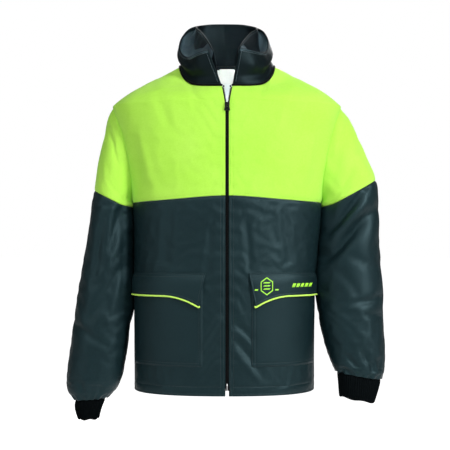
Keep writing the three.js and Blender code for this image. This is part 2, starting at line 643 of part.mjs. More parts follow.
// Turn 0 is the outer edge of the arm, a quarter the front. Rounder than an ellipse.
function ringPoint(side, values, turn) {
  const [outerX, outerZ, innerX, innerZ, middleY, halfDepth] = values;
  const angle = turn * 2 * Math.PI;
  const r = (Math.abs(Math.cos(angle)) ** 2.2 + Math.abs(Math.sin(angle)) ** 2.2) ** (-1 / 2.2);
  const c = r * Math.cos(angle);
  const s = r * Math.sin(angle);
  const x = (outerX + innerX) / 2 + (c * (outerX - innerX)) / 2;
  const z = (outerZ + innerZ) / 2 + (c * (outerZ - innerZ)) / 2;
  return new THREE.Vector3(side * x, middleY - s * halfDepth, z);
}

// How far the body's armhole edge lies inside the flat ring, which the sleeve head follows.
function armholeBow(side, turn) {
  const flat = ringPoint(side, SLEEVE_RINGS.right[0], turn);
  const depth = flat.y < 0 ? -bodyCentreFront(flat.z) : along(BACK_DEPTHS, flat.z);
  const width = halfWidth(flat.z, side);
  const x = width * (1 - (Math.abs(flat.y) / depth) ** SECTION_POWER) ** (1 / SECTION_POWER);
  return Math.min(0, x - Math.abs(flat.x));
}

function sleevePoint(rings, side, turn, at) {
  const point = ringPoint(side, ringValues(rings, at), turn);
  const fade = 1 - smoothStep(at / (SLEEVE_SEAM_KEY - 0.5));
  point.x += side * (armholeBow(side, turn) * fade + ROOT_GAP);
  return point;
}

function sleeveWall(rings, side, from, to, segments, rows, outer, thickness) {
  const step = 1e-3;
  const surface = (turn, at) => sleevePoint(rings, side, turn, at);
  return tubeWall(segments, rows, (turn, j, layer) => {
    const at = mix(from, to, j);
    const point = surface(turn, at);
    const around = surface(turn + step, at).sub(surface(turn - step, at));
    const down = surface(turn, at + step).sub(surface(turn, Math.max(at - step, 0)));
    const normal = around.cross(down).normalize();
    const values = ringValues(rings, at);
    const middle = new THREE.Vector3(side * (values[0] + values[2]) / 2, values[4], (values[1] + values[3]) / 2);
    if (normal.dot(point.clone().sub(middle)) < 0) normal.negate();
    return point.addScaledVector(normal, outer - layer * thickness);
  });
}

for (const [name, side] of SIDES) {
  const rings = SLEEVE_RINGS[name];
  const last = rings.length - 1;
  const seamGap = 0.012;
  add(`sleeve_upper_${name}`, sleeveWall(rings, side, 0, SLEEVE_SEAM_KEY - seamGap, 20, 6, 0, SHELL), COLOURS.lime);
  add(`sleeve_lower_${name}`, sleeveWall(rings, side, SLEEVE_SEAM_KEY + seamGap, last, 18, 10, 0, SHELL), COLOURS.dark);
  const inset = -(SHELL + LINING_GAP);
  add(`sleeve_lining_${name}`,
    sleeveWall(rings, side, SLEEVE_SEAM_KEY + 0.1, last - 0.6, 14, 6, inset, LINING), COLOURS.lining);
  const cuff = tubeWall(16, 3, (turn, j, layer) => {
    const values = ringValues(CUFF_RINGS[name], j * 2);
    const slim = layer * CUFF_THICKNESS;
    const [outerX, outerZ, innerX, innerZ, middleY, halfDepth] = values;
    const thinner = [outerX - slim, outerZ, innerX + slim, innerZ, middleY, halfDepth - slim];
    const point = ringPoint(side, thinner, turn);
    point.x += side * ROOT_GAP;
    return point;
  });
  add(`cuff_${name}`, cuff, COLOURS.rib);
}

export default group;
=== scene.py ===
import math

import bpy
import numpy as np
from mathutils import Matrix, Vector, noise
from mathutils.bvhtree import BVHTree


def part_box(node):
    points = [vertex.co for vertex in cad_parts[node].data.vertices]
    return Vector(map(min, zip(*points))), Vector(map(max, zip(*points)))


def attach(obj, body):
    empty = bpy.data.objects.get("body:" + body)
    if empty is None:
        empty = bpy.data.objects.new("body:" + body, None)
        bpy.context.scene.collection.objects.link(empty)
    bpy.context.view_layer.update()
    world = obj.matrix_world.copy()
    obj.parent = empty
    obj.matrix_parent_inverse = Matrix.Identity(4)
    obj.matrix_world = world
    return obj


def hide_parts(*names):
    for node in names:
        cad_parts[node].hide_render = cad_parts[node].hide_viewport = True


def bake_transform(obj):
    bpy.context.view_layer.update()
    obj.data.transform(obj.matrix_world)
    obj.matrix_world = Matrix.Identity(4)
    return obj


# A work jacket in lime and dark twill. Metres, in the CAD frame: +Z up, front towards -Y,
# +X towards the wearer's left, origin in the middle of the neck opening.
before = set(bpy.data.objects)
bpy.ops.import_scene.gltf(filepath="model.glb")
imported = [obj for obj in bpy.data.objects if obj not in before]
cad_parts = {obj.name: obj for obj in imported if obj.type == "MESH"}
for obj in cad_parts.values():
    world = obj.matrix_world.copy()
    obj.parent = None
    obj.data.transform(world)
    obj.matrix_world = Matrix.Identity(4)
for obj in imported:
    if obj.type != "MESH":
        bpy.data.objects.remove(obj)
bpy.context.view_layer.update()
MM = 0.001
SIDES = (("right", -1), ("left", 1))

# ---------------------------------------------------------------- driving sizes, in millimetres
HEM_Z = -705.0
SHELL = 1.6                      # one ply of twill with its interlining
NECK = dict(width=103, front=98, back=80, front_z=-52, back_z=8, roundness=6)
COLLAR_GAP = 11.0                # half gap between the collar ends, at the seam
TIP_X, TIP_Z = 250.0, -90.0      # shoulder tip
ARMPIT_Z = -305.0
ARMHOLE_Y, ARMHOLE_HALF = 5.0, 60.0
FRONT_TOP_Z, FRONT_TOP_Y, FRONT_HEM_Y = -80.0, -117.0, -144.0
YOKE_FRONT_Z, YOKE_ARM_Z, YOKE_BACK_Z = -286.0, -300.0, -292.0
SIDE_SEAM_Y = -25.0
POWER, SLEEVE_POWER = 2.5, 2.2   # roundness of the sections of the body and of a sleeve
ZIP_EDGE = 3.4                   # the cloth edges lie over the tape, close to the teeth
VEE_Z = -97.0
HALF_WIDTHS = [(-705, 203), (-500, 205), (-300, 208), (-200, 228), (-150, 238), (-90, 250)]
BACK_DEPTHS = [(-705, 120), (-500, 122), (-300, 120), (-200, 114), (-90, 98)]
LEFT_DRAPE, DRAPE_HEIGHT = 0.06, 190.0
SLEEVE_SEAM = 4                  # sleeve ring on the line where lime meets dark
SLEEVE_RINGS = {                 # outer x, outer z, inner x, inner z, middle y, half depth
    "right": [
        (250, -90, 208, -305, 5, 60), (262, -114, 210.5, -306, 4, 62), (272, -160, 211.5, -307.5, 2, 64),
        (283, -212, 212.5, -309, 0, 65), (292, -273, 213.5, -311, -3, 65), (301, -335, 213.5, -352, -6, 64),
        (312, -412, 212.5, -425, -9, 62), (325, -491, 211.5, -500, -13, 60), (334, -557, 213, -563, -17, 58),
        (343, -623, 220, -626, -22, 55), (348, -676, 230, -676, -26, 50), (346, -706, 243, -703, -28, 43),
        (332, -727, 263, -723, -30, 32)],
    "left": [
        (250, -90, 208, -305, 5, 60), (269, -116, 211, -306, 4, 62), (292, -163, 212.5, -307.5, 2, 65),
        (313, -212, 213.5, -309, 0, 67), (327, -250, 214, -311, -3, 68), (332, -320, 209, -352, -7, 68),
        (334, -400, 202, -425, -12, 67), (341, -491, 197, -500, -19, 66), (339, -555, 202, -552, -27, 64),
        (342, -607, 213, -602, -35, 59), (341, -645, 224, -637, -43, 53), (338, -667, 231, -654, -48, 46),
        (333, -680, 236, -663, -52, 39)],
}
CUFF_RINGS = {
    "right": [
        (330, -728, 266, -724, -30, 30), (330, -745, 272, -742, -31, 27), (323, -770, 279, -768, -31, 21)],
    "left": [
        (331, -681.5, 238, -664.5, -52, 37), (325, -704, 241, -691, -56, 34),
        (319, -729, 244, -716, -60, 30)],
}
ROOT_GAP = -0.7                  # the sleeve's armhole edge laps a little way under the body's
GRID, LINING_GRID = 7.0, 14.0    # mesh spacing of the outer cloth and of the linings
POCKET = dict(inner_x=50, top=-468, bottom=-645, outer_y=-42)
FLAP = dict(top_x=45, bottom_x=57, top=-448, bottom=-496, drop=23, outer_y=-48, level_x=130)
SLIDER_Z, ZIP_END_Z = -97.0, -688.0


# ---------------------------------------------------------------- small maths
def smooth(t):
    t = np.clip(t, 0.0, 1.0)
    return t * t * (3 - 2 * t)


def mix(a, b, t):
    return a + (b - a) * t


def along(stops, at):
    """Smooth curve through (position, value) stops, for an array of positions."""
    xs, ys = np.array(stops, float).T
    ends = np.diff(ys) / np.diff(xs)
    slopes = np.concatenate((ends[:1], (ys[2:] - ys[:-2]) / (xs[2:] - xs[:-2]), ends[-1:]))
    at = np.clip(at, xs[0], xs[-1])
    i = np.clip(np.searchsorted(xs, at, side="right") - 1, 0, len(xs) - 2)
    width = xs[i + 1] - xs[i]
    t = (at - xs[i]) / width
    bend = t * (1 - t) ** 2 * slopes[i] - t * t * (1 - t) * slopes[i + 1]
    return mix(ys[i], ys[i + 1], t * t * (3 - 2 * t)) + width * bend


def stack(x, y, z):
    return np.stack(np.broadcast_arrays(x, y, z), axis=-1)


# ---------------------------------------------------------------- the body's surface
def centre_front(z):
    return mix(FRONT_TOP_Y, FRONT_HEM_Y, (FRONT_TOP_Z - z) / (FRONT_TOP_Z - HEM_Z))


def half_width(z, side):
    drape = LEFT_DRAPE * smooth((ARMPIT_Z - 5 - z) / DRAPE_HEIGHT) * (np.asarray(side) > 0)
    return along(HALF_WIDTHS, z) * (1 - drape)


def reach(angle, width, front, back):
    depth = np.where(np.cos(angle) > 0, front, back)
    shares = (np.abs(np.sin(angle)) / width) ** POWER + (np.abs(np.cos(angle)) / depth) ** POWER
    return shares ** (-1 / POWER)


def section(angle, z):
    side = np.where(np.sin(angle) >= 0, 1, -1)
    r = reach(angle, half_width(z, side), -centre_front(z), along(BACK_DEPTHS, z))
    return stack(r * np.sin(angle), -r * np.cos(angle), z)


def wall_x(y, z, side):
    """How far to the side the body's surface lies at a depth and a height."""
    depth = np.where(y < 0, -centre_front(z), along(BACK_DEPTHS, z))
    return half_width(z, side) * np.clip(1 - (np.abs(y) / depth) ** POWER, 0, 1) ** (1 / POWER)


def share_of(angle, way):
    """1 straight ahead (way 1) or straight behind (way -1), and 0 from the side on."""
    return np.maximum(0, way * np.cos(angle)) ** 1.5


def ring_z(angle):
    return TIP_Z + (FRONT_TOP_Z - TIP_Z) * share_of(angle, 1) - 5 * share_of(angle, -1)


def neck(angle):
    """The neck seam, at height 0 on both sides."""
    r = reach(angle, NECK["width"], NECK["front"], NECK["back"])
    drop = np.where(np.cos(angle) > 0, 1 - np.abs(np.sin(angle)) ** NECK["roundness"], 0)
    z = NECK["front_z"] * drop + NECK["back_z"] * share_of(angle, -1)
    return stack(r * np.sin(angle), -r * np.cos(angle), z)


def body(angle, level):
    """Level 0 is the neck seam, 1 the ring through the shoulder tips, 2 the hem."""
    angle, level = np.broadcast_arrays(np.asarray(angle, float), np.asarray(level, float))
    top = ring_z(angle)
    lower = section(angle, mix(top, HEM_Z, np.maximum(level - 1, 0)))
    t = np.clip(level, 0, 1)[..., None]
    start, ring = neck(angle), section(angle, top)
    span = ring - start
    down = section(angle, top - 10) - ring
    down *= np.linalg.norm(span, axis=-1, keepdims=True) / np.linalg.norm(down, axis=-1, keepdims=True)
    upright = (np.abs(np.cos(angle)) ** 0.7)[..., None]
    leave, arrive = span + (0, 0, 12.0), mix(span, down, upright)
    upper = (start * (1 + 2 * t) * (1 - t) ** 2 + ring * t * t * (3 - 2 * t)
             + leave * t * (1 - t) ** 2 - arrive * t * t * (1 - t))
    return np.where((level >= 1)[..., None], lower, upper)


def level_at(angle, z):
    return 1 + (z - ring_z(angle)) / (HEM_Z - ring_z(angle))


def angle_at_depth(y, z, side):
    return np.arctan2(wall_x(y, z, side), -y)


def angle_at_width(x, z, side):
    share = 1 - (x / half_width(z, side)) ** POWER
    return np.arctan2(x, -centre_front(z) * share ** (1 / POWER))


def armhole_y(z, way):
    middle, half = (TIP_Z + ARMPIT_Z) / 2, (TIP_Z - ARMPIT_Z) / 2
    return ARMHOLE_Y + way * ARMHOLE_HALF * np.sqrt(np.maximum(0, 1 - ((z - middle) / half) ** 2))


SHOULDER_ANGLE = math.atan2(TIP_X, -ARMHOLE_Y)
SHOULDER_ROWS = 0.4              # share of a yoke's length that lies above the shoulder tips
TRIM_TURN = 0.004                # radians, or share of the shoulder's slope, for a millimetre of trim


def zip_spread(z):
    return (COLLAR_GAP - ZIP_EDGE) * np.clip((z - VEE_Z) / (NECK["front_z"] - VEE_Z), 0, 1)


# ---------------------------------------------------------------- grids of points
def even(length, spacing):
    return np.linspace(0, 1, max(3, int(round(length / spacing)) + 1))


def steps(length, spacing=GRID, near=(), far=()):
    """Shares of a length: even lines, and close ones at the sewn edges and at the rows of stitches.

    near and far are the distances of stitch rows from the first and the last edge.
    """
    close = [0.0, 1.6, 3.2, length - 3.2, length - 1.6, length]
    for row in [*near, *(length - d for d in far)]:
        close += [row - 1.5, row, row + 1.5]
    lines = even(length, spacing) * length
    clear = np.abs(lines[:, None] - close).min(axis=1) > 0.45 * spacing
    return np.sort(np.append(close, lines[clear])) / length


def with_tip(vs):
    """The rows of a yoke, with more of them where the armhole leaves the shoulder tip."""
    extra = SHOULDER_ROWS + np.array([0, 0.008, 0.02])
    apart = np.abs(vs[:, None] - extra).min(axis=1) > 0.004
    return np.sort(np.concatenate((vs[apart], extra)))


def yoke_level(angle, v, seam_z, start=0.0):
    upper = mix(start, 1, np.clip(v / SHOULDER_ROWS, 0, 1))
    lower = mix(1, level_at(angle, seam_z), np.clip((v - SHOULDER_ROWS) / (1 - SHOULDER_ROWS), 0, 1))
    return np.where(v <= SHOULDER_ROWS, upper, lower)


def yoke_seam_z(angle):
    return mix(YOKE_FRONT_Z, YOKE_ARM_Z, smooth(angle / math.radians(86)))


def armhole_height(level):
    return np.minimum(mix(ring_z(SHOULDER_ANGLE), HEM_Z, level - 1), TIP_Z)


def front_yoke_grid(side, us, vs, edge_x=ZIP_EDGE, trim=0.0):
    u, v = np.meshgrid(us, vs)
    start = trim * TRIM_TURN
    arm_level = yoke_level(SHOULDER_ANGLE, v, YOKE_ARM_Z + trim, start)
    arm_z = armhole_height(arm_level)
    outer = np.where(arm_level <= 1, SHOULDER_ANGLE - start,
                     angle_at_depth(armhole_y(arm_z, -1) - trim, arm_z, side))
    front = body(0.0, yoke_level(0.0, v, YOKE_FRONT_Z + trim, start))
    inner = np.arctan2(edge_x + zip_spread(front[..., 2]), -front[..., 1])
    angle = mix(inner, outer, u)
    return body(side * angle, yoke_level(angle, v, yoke_seam_z(angle) + trim, start))


def front_panel_grid(side, us, vs, edge_x=ZIP_EDGE, trim=0.0, hem=HEM_Z):
    u, v = np.meshgrid(us, vs)
    side_z = mix(YOKE_ARM_Z - trim, hem, v)
    angle = mix(angle_at_width(edge_x, side_z, side), angle_at_depth(SIDE_SEAM_Y - trim, side_z, side), u)
    return body(side * angle, level_at(angle, mix(yoke_seam_z(angle) - trim, hem, v)))


def round_back(u, edge):
    """Angles from one side round the back to the other, the same from the front, and the seam's rise."""
    angle = mix(edge(1), 2 * math.pi - edge(-1), u)
    from_front = np.minimum(angle, 2 * math.pi - angle)
    return angle, from_front, smooth((from_front - math.radians(97)) / math.radians(13))


def back_yoke_grid(us, vs, inset=0.0):
    u, v = np.meshgrid(us, vs)
    arm_level = yoke_level(SHOULDER_ANGLE, v, YOKE_ARM_Z, inset * 0.01)
    arm_z = armhole_height(arm_level)

    def edge(side):
        below = angle_at_depth(armhole_y(arm_z, 1) + inset, arm_z, side)
        return np.where(arm_level <= 1, SHOULDER_ANGLE, below)
    angle, from_front, rise = round_back(u, edge)
    return body(angle, yoke_level(from_front, v, mix(YOKE_ARM_Z, YOKE_BACK_Z, rise), inset * 0.01))


def back_panel_grid(us, vs, inset=0.0, hem=HEM_Z):
    u, v = np.meshgrid(us, vs)
    side_z = mix(ARMPIT_Z, hem, v)
    angle, _, rise = round_back(u, lambda side: angle_at_depth(SIDE_SEAM_Y + inset, side_z, side))
    return body(angle, level_at(angle, mix(mix(ARMPIT_Z, YOKE_BACK_Z, rise), hem, v)))


def ring_values(rings, at):
    return [along(list(enumerate(column)), at) for column in zip(*rings)]


def ring_point(side, values, turn):
    outer_x, outer_z, inner_x, inner_z, middle_y, half_depth = values
    angle = turn * 2 * math.pi
    c, s = np.cos(angle), np.sin(angle)
    r = (np.abs(c) ** SLEEVE_POWER + np.abs(s) ** SLEEVE_POWER) ** (-1 / SLEEVE_POWER)
    c, s = r * c, r * s
    x = (outer_x + inner_x) / 2 + c * (outer_x - inner_x) / 2
    z = (outer_z + inner_z) / 2 + c * (outer_z - inner_z) / 2
    return stack(side * x, middle_y - s * half_depth, z)


def sleeve_grid(name, side, turns, ats):
    """A sleeve's points and the middles of its rings. Its head is bowed to lie on the body."""
    turn, at = np.meshgrid(turns, ats)
    values = ring_values(SLEEVE_RINGS[name], at)
    points, flat = ring_point(side, values, turn), ring_point(side, SLEEVE_RINGS[name][0], turn)
    bow = np.minimum(0, wall_x(flat[..., 1], flat[..., 2], side) - np.abs(flat[..., 0]))
    points[..., 0] += side * (bow * (1 - smooth(at / (SLEEVE_SEAM - 0.5))) + ROOT_GAP)
    return points, stack(side * (values[0] + values[2]) / 2, values[4], (values[1] + values[3]) / 2)


# ---------------------------------------------------------------- folds in the cloth
EDGES = ("left", "right", "top", "bottom")
TURN_UNDER = 2.2                 # how deep a sewn edge lies under the field


def grid_normals(grid, middle, closed=False):
    """Unit normals of a grid of points, pointing away from a middle point."""
    across = np.roll(grid, -1, 1) - np.roll(grid, 1, 1) if closed else np.gradient(grid, axis=1)
    normals = np.cross(across, np.gradient(grid, axis=0))
    normals /= np.maximum(np.linalg.norm(normals, axis=-1, keepdims=True), 1e-9)
    inward = np.sum(normals * (grid - np.asarray(middle, float)), axis=-1, keepdims=True) < 0
    return np.where(inward, -normals, normals)


def panel(width, length, rows=(), turned=(0, 0, 0, 0), draw=0.7, us=None, refine=np.asarray, more=(),
          spacing=GRID):
    """A panel's grid lines, how far its sewn edges turn under, and the grooves of its stitch rows.

    rows are (edge, distance, length left bare) tuples. turned has a share for each edge. refine
    changes the lines down the panel, and more are distances from the top that need close lines.
    """
    at = {edge: [distance for on, distance, _ in rows if on == edge] for edge in EDGES}
    us = steps(width, GRID, at["left"], at["right"]) if us is None else us
    vs = refine(steps(length, spacing, [*at["top"], *more], at["bottom"]))
    u, v = np.meshgrid(us, vs)
    from_edge = dict(zip(EDGES, (u * width, (1 - u) * width, v * length, (1 - v) * length)))
    roll, drawn = np.zeros_like(u), np.zeros_like(u)
    for edge, share in zip(EDGES, turned):
        roll = np.maximum(roll, share * np.exp(-(from_edge[edge] / 2.4) ** 2))
    for edge, distance, _ in rows:
        drawn = np.minimum(drawn, -draw * np.exp(-((from_edge[edge] - distance) / 1.3) ** 2))
    return us, vs, roll, drawn


def field(folded, roll, drawn=0.0):
    """The lift of a panel: its folds fade where the edge turns under."""
    return folded * (1 - roll) - TURN_UNDER * roll + drawn


def rumple(points, scale, stretch, seed):
    """Smooth noise from -1 to 1 at every point of a grid."""
    flat = points.reshape(-1, 3) * np.array(stretch) / scale + seed * 17.3
    return np.array([noise.noise(Vector(p)) for p in flat]).reshape(points.shape[:-1])


def waves(grid, *layers):
    """Soft waves in the cloth: each layer has a height, a length, a stretch in z and a seed."""
    return sum(height * rumple(grid, length, (1, 1, stretch), seed)
               for height, length, stretch, seed in layers)


def fold(points, start, end, half, depth, sharp=1.0):
    """A crease along a line in the front plane: negative depth is a valley."""
    a, b = np.array(start, float), np.array(end, float)
    p, d = points[..., (0, 2)], b - a
    t = np.clip(((p - a) @ d) / (d @ d), 0, 1)
    distance = np.linalg.norm(p - (a + t[..., None] * d), axis=-1)
    taper = np.sin(np.pi * np.clip(t, 0.02, 0.98)) ** 0.6
    return depth * taper * np.exp(-np.abs(distance / half) ** (2 * sharp))


def folds(grid, creases, side=1, sharp=1.0):
    """Creases given for the left half of the coat, mirrored for the right half."""
    return sum(fold(grid, (side * a[0], a[1]), (side * b[0], b[1]), half, depth, sharp)
               for a, b, half, depth in creases)


class Look:
    """A Principled material, with short calls for the nodes that the looks share."""

    def __init__(self, name, slot, roughness, specular=0.5, **sockets):
        self.material = bpy.data.materials.new(name)
        self.material.use_nodes = True
        self.tree = self.material.node_tree
        self.shader = self.tree.nodes["Principled BSDF"]
        for socket, value in {"Roughness": roughness, "Specular IOR Level": specular, **sockets}.items():
            self.shader.inputs[socket].default_value = value
        coordinates = self.tree.nodes.new("ShaderNodeTexCoord").outputs
        self.uv, self.place = coordinates["UV"], coordinates["Object"]

    def node(self, kind, inputs, **settings):
        node = self.tree.nodes.new("ShaderNode" + kind)
        for key, value in settings.items():
            setattr(node, key, value)
        for key, value in inputs.items():
            if isinstance(value, bpy.types.NodeSocket):
                self.tree.links.new(value, node.inputs[key])
            else:
                node.inputs[key].default_value = value
        return node

    def wave(self, period, degrees):
        """Bands with a period in metres, turned in the cloth's own plane."""
        turn = (0, 0, math.radians(degrees))
        turned = self.node("Mapping", {"Vector": self.uv, "Rotation": turn}).outputs["Vector"]
        return self.node("TexWave", {"Vector": turned, "Scale": 2 * math.pi / (20 * period)}).outputs["Fac"]

    def cloud(self, vector, size, detail):
        return self.node("TexNoise", {"Vector": vector, "Scale": 1 / size, "Detail": detail}).outputs["Fac"]

    def total(self, *terms):
        """The sum of (weight, value) pairs."""
        result = 0.0
        for weight, value in terms:
            parts = {0: value, 1: weight, 2: result}
            result = self.node("Math", parts, operation="MULTIPLY_ADD").outputs[0]
        return result

    def surface(self, shade, stops, height, strength, distance):
        """A colour between two, and relief."""
        colour = self.node("ValToRGB", {"Fac": shade})
        for element, (position, rgb) in zip(colour.color_ramp.elements, stops):
            element.position = position
            element.color = (*rgb, 1)
        relief = self.node("Bump", {"Strength": strength, "Distance": distance, "Height": height})
        self.tree.links.new(colour.outputs["Color"], self.shader.inputs["Base Color"])
        self.tree.links.new(relief.outputs["Normal"], self.shader.inputs["Normal"])
        return self.material


def twill(name, slot, dark, light, thread=0.0011, roughness=0.6, specular=0.4, relief=0.3, sheen=0.03,
          tint=(1, 1, 1)):
    """Diagonal twill with slubs, a soft change of shade over the cloth and a fine nap."""
    look = Look(name, slot, roughness, specular, **{"Specular Tint": (*tint, 1), "Sheen Weight": sheen,
                                                    "Sheen Roughness": 0.5})
    weave = look.total((0.25, look.wave(thread * 0.55, 0)), (0.25, look.wave(thread * 0.55, 90)),
                       (0.7, look.wave(thread, 63)))
    slub, patch = look.cloud(look.uv, 0.004, 4), look.cloud(look.place, 0.09, 3)
    shade = look.total((0.22, weave), (0.38, slub), (0.42, patch))
    height = look.total((1, weave), (1, slub))
    return look.surface(shade, ((0.3, dark), (0.72, light)), height, relief, 0.0003)


def knit(name, slot, dark, light):
    """Rows of loops and columns of ribs, with a little fuzz."""
    look = Look(name, slot, 0.9, 0.06)
    loops, ribs, fuzz = look.wave(0.0016, 90), look.wave(0.0012, 0), look.cloud(look.uv, 0.0018, 4)
    height = look.total((1, loops), (0.6, ribs), (1, fuzz))
    return look.surface(look.total((0.4, height)), ((0.2, dark), (0.8, light)), height, 0.5, 0.0005)


def moulded(name, slot, dark, light, roughness, metallic=0.0, grain=0.0006, relief=0.08, specular=0.5):
    """Plastic, enamel or print with a fine grain."""
    look = Look(name, slot, roughness, specular, Metallic=metallic)
    speck = look.cloud(look.place, grain, 3)
    return look.surface(speck, ((0.3, dark), (0.7, light)), speck, relief, 0.0002)


def fine_thread(name, slot, dark, light):
    return twill(name, slot, dark, light, 0.0004, 0.5)


TEAL = (0.50, 0.80, 0.88)
LIME = twill("lime_twill", "outer_lime", (0.36, 0.75, 0.05), (0.46, 0.83, 0.10),
             roughness=0.8, specular=0.12, relief=0.2, sheen=0.12)
DARK = twill("dark_twill", "outer_dark", (0.002, 0.008, 0.010), (0.007, 0.019, 0.022),
             roughness=0.44, specular=0.36, sheen=0, tint=TEAL)
COLLAR_CLOTH = twill("collar_twill", "collar_cloth", (0.001, 0.003, 0.004), (0.004, 0.007, 0.008),
                     roughness=0.42, specular=0.17, sheen=0, tint=TEAL)
# A darker, duller copy of the collar cloth for the facing: painted shade for the inside of the collar.
COLLAR_INSIDE_PAINTED_SHADE = twill("collar_inside_painted_shade", "collar_cloth", (0.001, 0.002, 0.003), (0.003, 0.005, 0.006),
                      roughness=0.36, specular=0.10, sheen=0, tint=TEAL)
# Far lighter than the collar cloth: partly a satin lining, partly painted light for the key light that the
# facing's crest keeps out of the collar's hollow.
COLLAR_SATIN_PAINTED_LIGHT = twill("collar_satin_painted_light", "collar_cloth", (0.012, 0.022, 0.028), (0.034, 0.054, 0.066),
                     roughness=0.35, specular=0.5, sheen=0, tint=TEAL)
LINING = twill("lining_taffeta", "lining_cloth", (0.62, 0.70, 0.72), (0.78, 0.84, 0.86), 0.0008, relief=0.15)
LABEL = twill("label_satin", "label_cloth", (0.60, 0.64, 0.65), (0.74, 0.77, 0.78),
              0.0007, 0.45, relief=0.15)
TAPE = twill("zip_tape_weave", "zip_tape", (0.001, 0.001, 0.002), (0.004, 0.004, 0.005), 0.0009, 0.8, 0.08)
RIB = knit("rib_knit", "rib_knit", (0.0003, 0.001, 0.0013), (0.002, 0.004, 0.005))
TEETH = moulded("zip_teeth_plastic", "zip_plastic", (0.001, 0.001, 0.001), (0.002, 0.002, 0.003), 0.55,
                specular=0.12)
METAL = moulded("zip_enamel", "zip_metal", (0.004, 0.004, 0.005), (0.014, 0.014, 0.016), 0.3, 0.4)
PIPING = twill("piping_cord", "piping", (0.56, 0.92, 0.10), (0.70, 1.0, 0.22), 0.0009, 0.4, relief=0.15)
PRINT = moulded("print_film", "piping", (0.34, 0.80, 0.03), (0.42, 0.90, 0.06), 0.45, grain=0.002)
HOOKS = knit("hook_and_loop", "touch_tape", (0.004, 0.005, 0.006), (0.014, 0.017, 0.018))
THREAD = {                       # the thread that each cloth is sewn with
    LIME.name: fine_thread("thread_lime", "outer_lime", (0.30, 0.72, 0.02), (0.38, 0.82, 0.05)),
    DARK.name: fine_thread("thread_dark", "outer_dark", (0.016, 0.028, 0.031), (0.035, 0.055, 0.06)),
    # The collar's grey thread is real topstitching, made lighter so that it also stands for a painted
    # highlight along the facing's crest.
    COLLAR_CLOTH.name: fine_thread("thread_grey_painted_highlight", "collar_cloth", (0.11, 0.16, 0.18), (0.18, 0.24, 0.26)),
}
THREAD[COLLAR_INSIDE_PAINTED_SHADE.name] = THREAD[COLLAR_CLOTH.name]


# ---------------------------------------------------------------- mesh helpers
def new_object(name, vertices, faces, material, uvs=None):
    mesh = bpy.data.meshes.new(name)
    mesh.from_pydata([tuple(p) for p in np.asarray(vertices) * MM], [], faces)
    if uvs is not None:
        loop_vertices = np.zeros(len(mesh.loops), np.int32)
        mesh.loops.foreach_get("vertex_index", loop_vertices)
        on_loops = (np.asarray(uvs) * MM)[loop_vertices].astype(np.float32)
        mesh.uv_layers.new(name="UVMap").data.foreach_set("uv", on_loops.ravel())
    mesh.materials.append(material)
    mesh.polygons.foreach_set("use_smooth", [True] * len(mesh.polygons))
    mesh.update()
    obj = bpy.data.objects.new(name, mesh)
    bpy.context.scene.collection.objects.link(obj)
    return obj


def run_of(points):
    """The distance along a line of points, at each of them."""
    return np.concatenate(([0], np.cumsum(np.linalg.norm(np.diff(points, axis=0), axis=1))))


def spot_on(line, run, at):
    """The point at a distance along a line of points."""
    return np.array([np.interp(at, run, line[:, c]) for c in range(3)])


def grid_object(name, grid, material, closed=False):
    """A single-ply object from a grid of points, with the cloth's own measure as its UV map."""
    rows, columns = grid.shape[:2]
    last = columns if closed else columns - 1
    faces = [(j * columns + i, j * columns + (i + 1) % columns,
              (j + 1) * columns + (i + 1) % columns, (j + 1) * columns + i)
             for j in range(rows - 1) for i in range(last)]
    u = np.append(0, np.cumsum(np.linalg.norm(np.diff(grid, axis=1), axis=-1).mean(axis=0)))
    v = np.append(0, np.cumsum(np.linalg.norm(np.diff(grid, axis=0), axis=-1).mean(axis=1)))
    uvs = np.stack(np.meshgrid(u, v), axis=-1).reshape(-1, 2)
    return new_object(name, grid.reshape(-1, 3), faces, material, uvs)


def face_out(obj, middle):
    """Turns the faces so that they look away from a middle point, in millimetres."""
    centre = Vector(np.asarray(middle, float).reshape(-1, 3).mean(axis=0) * MM)
    if sum((p.center - centre).dot(p.normal) * p.area for p in obj.data.polygons) < 0:
        obj.data.flip_normals()


def apply_modifiers(obj):
    graph = bpy.context.evaluated_depsgraph_get()
    graph.update()
    mesh, old = bpy.data.meshes.new_from_object(obj.evaluated_get(graph)), obj.data
    obj.modifiers.clear()
    obj.data = mesh
    bpy.data.meshes.remove(old)
    mesh.polygons.foreach_set("use_smooth", [True] * len(mesh.polygons))


def thicken(obj, thickness, offset=-1.0, smoothed=True):
    solid = obj.modifiers.new("ply", "SOLIDIFY")
    solid.thickness = thickness * MM
    solid.offset = offset
    if smoothed:
        subdivision = obj.modifiers.new("smooth", "SUBSURF")
        subdivision.levels = subdivision.render_levels = 1
    apply_modifiers(obj)


def ring_about(point, across, up, radius, sides):
    """Points round a middle point, in the plane of two directions."""
    turn = 2 * math.pi * np.arange(sides)[:, None] / sides
    return point + radius * (np.cos(turn) * across + np.sin(turn) * up)


def tube_mesh(rings, sides, base=0):
    """Faces of a run of rings with the same number of sides, closed at both ends."""
    faces = [tuple(range(sides))[::-1], tuple(range((rings - 1) * sides, rings * sides))]
    for k in range(rings - 1):
        for i in range(sides):
            n = (i + 1) % sides
            faces.append((k * sides + i, k * sides + n, (k + 1) * sides + n, (k + 1) * sides + i))
    return [tuple(base + i for i in face) for face in faces]


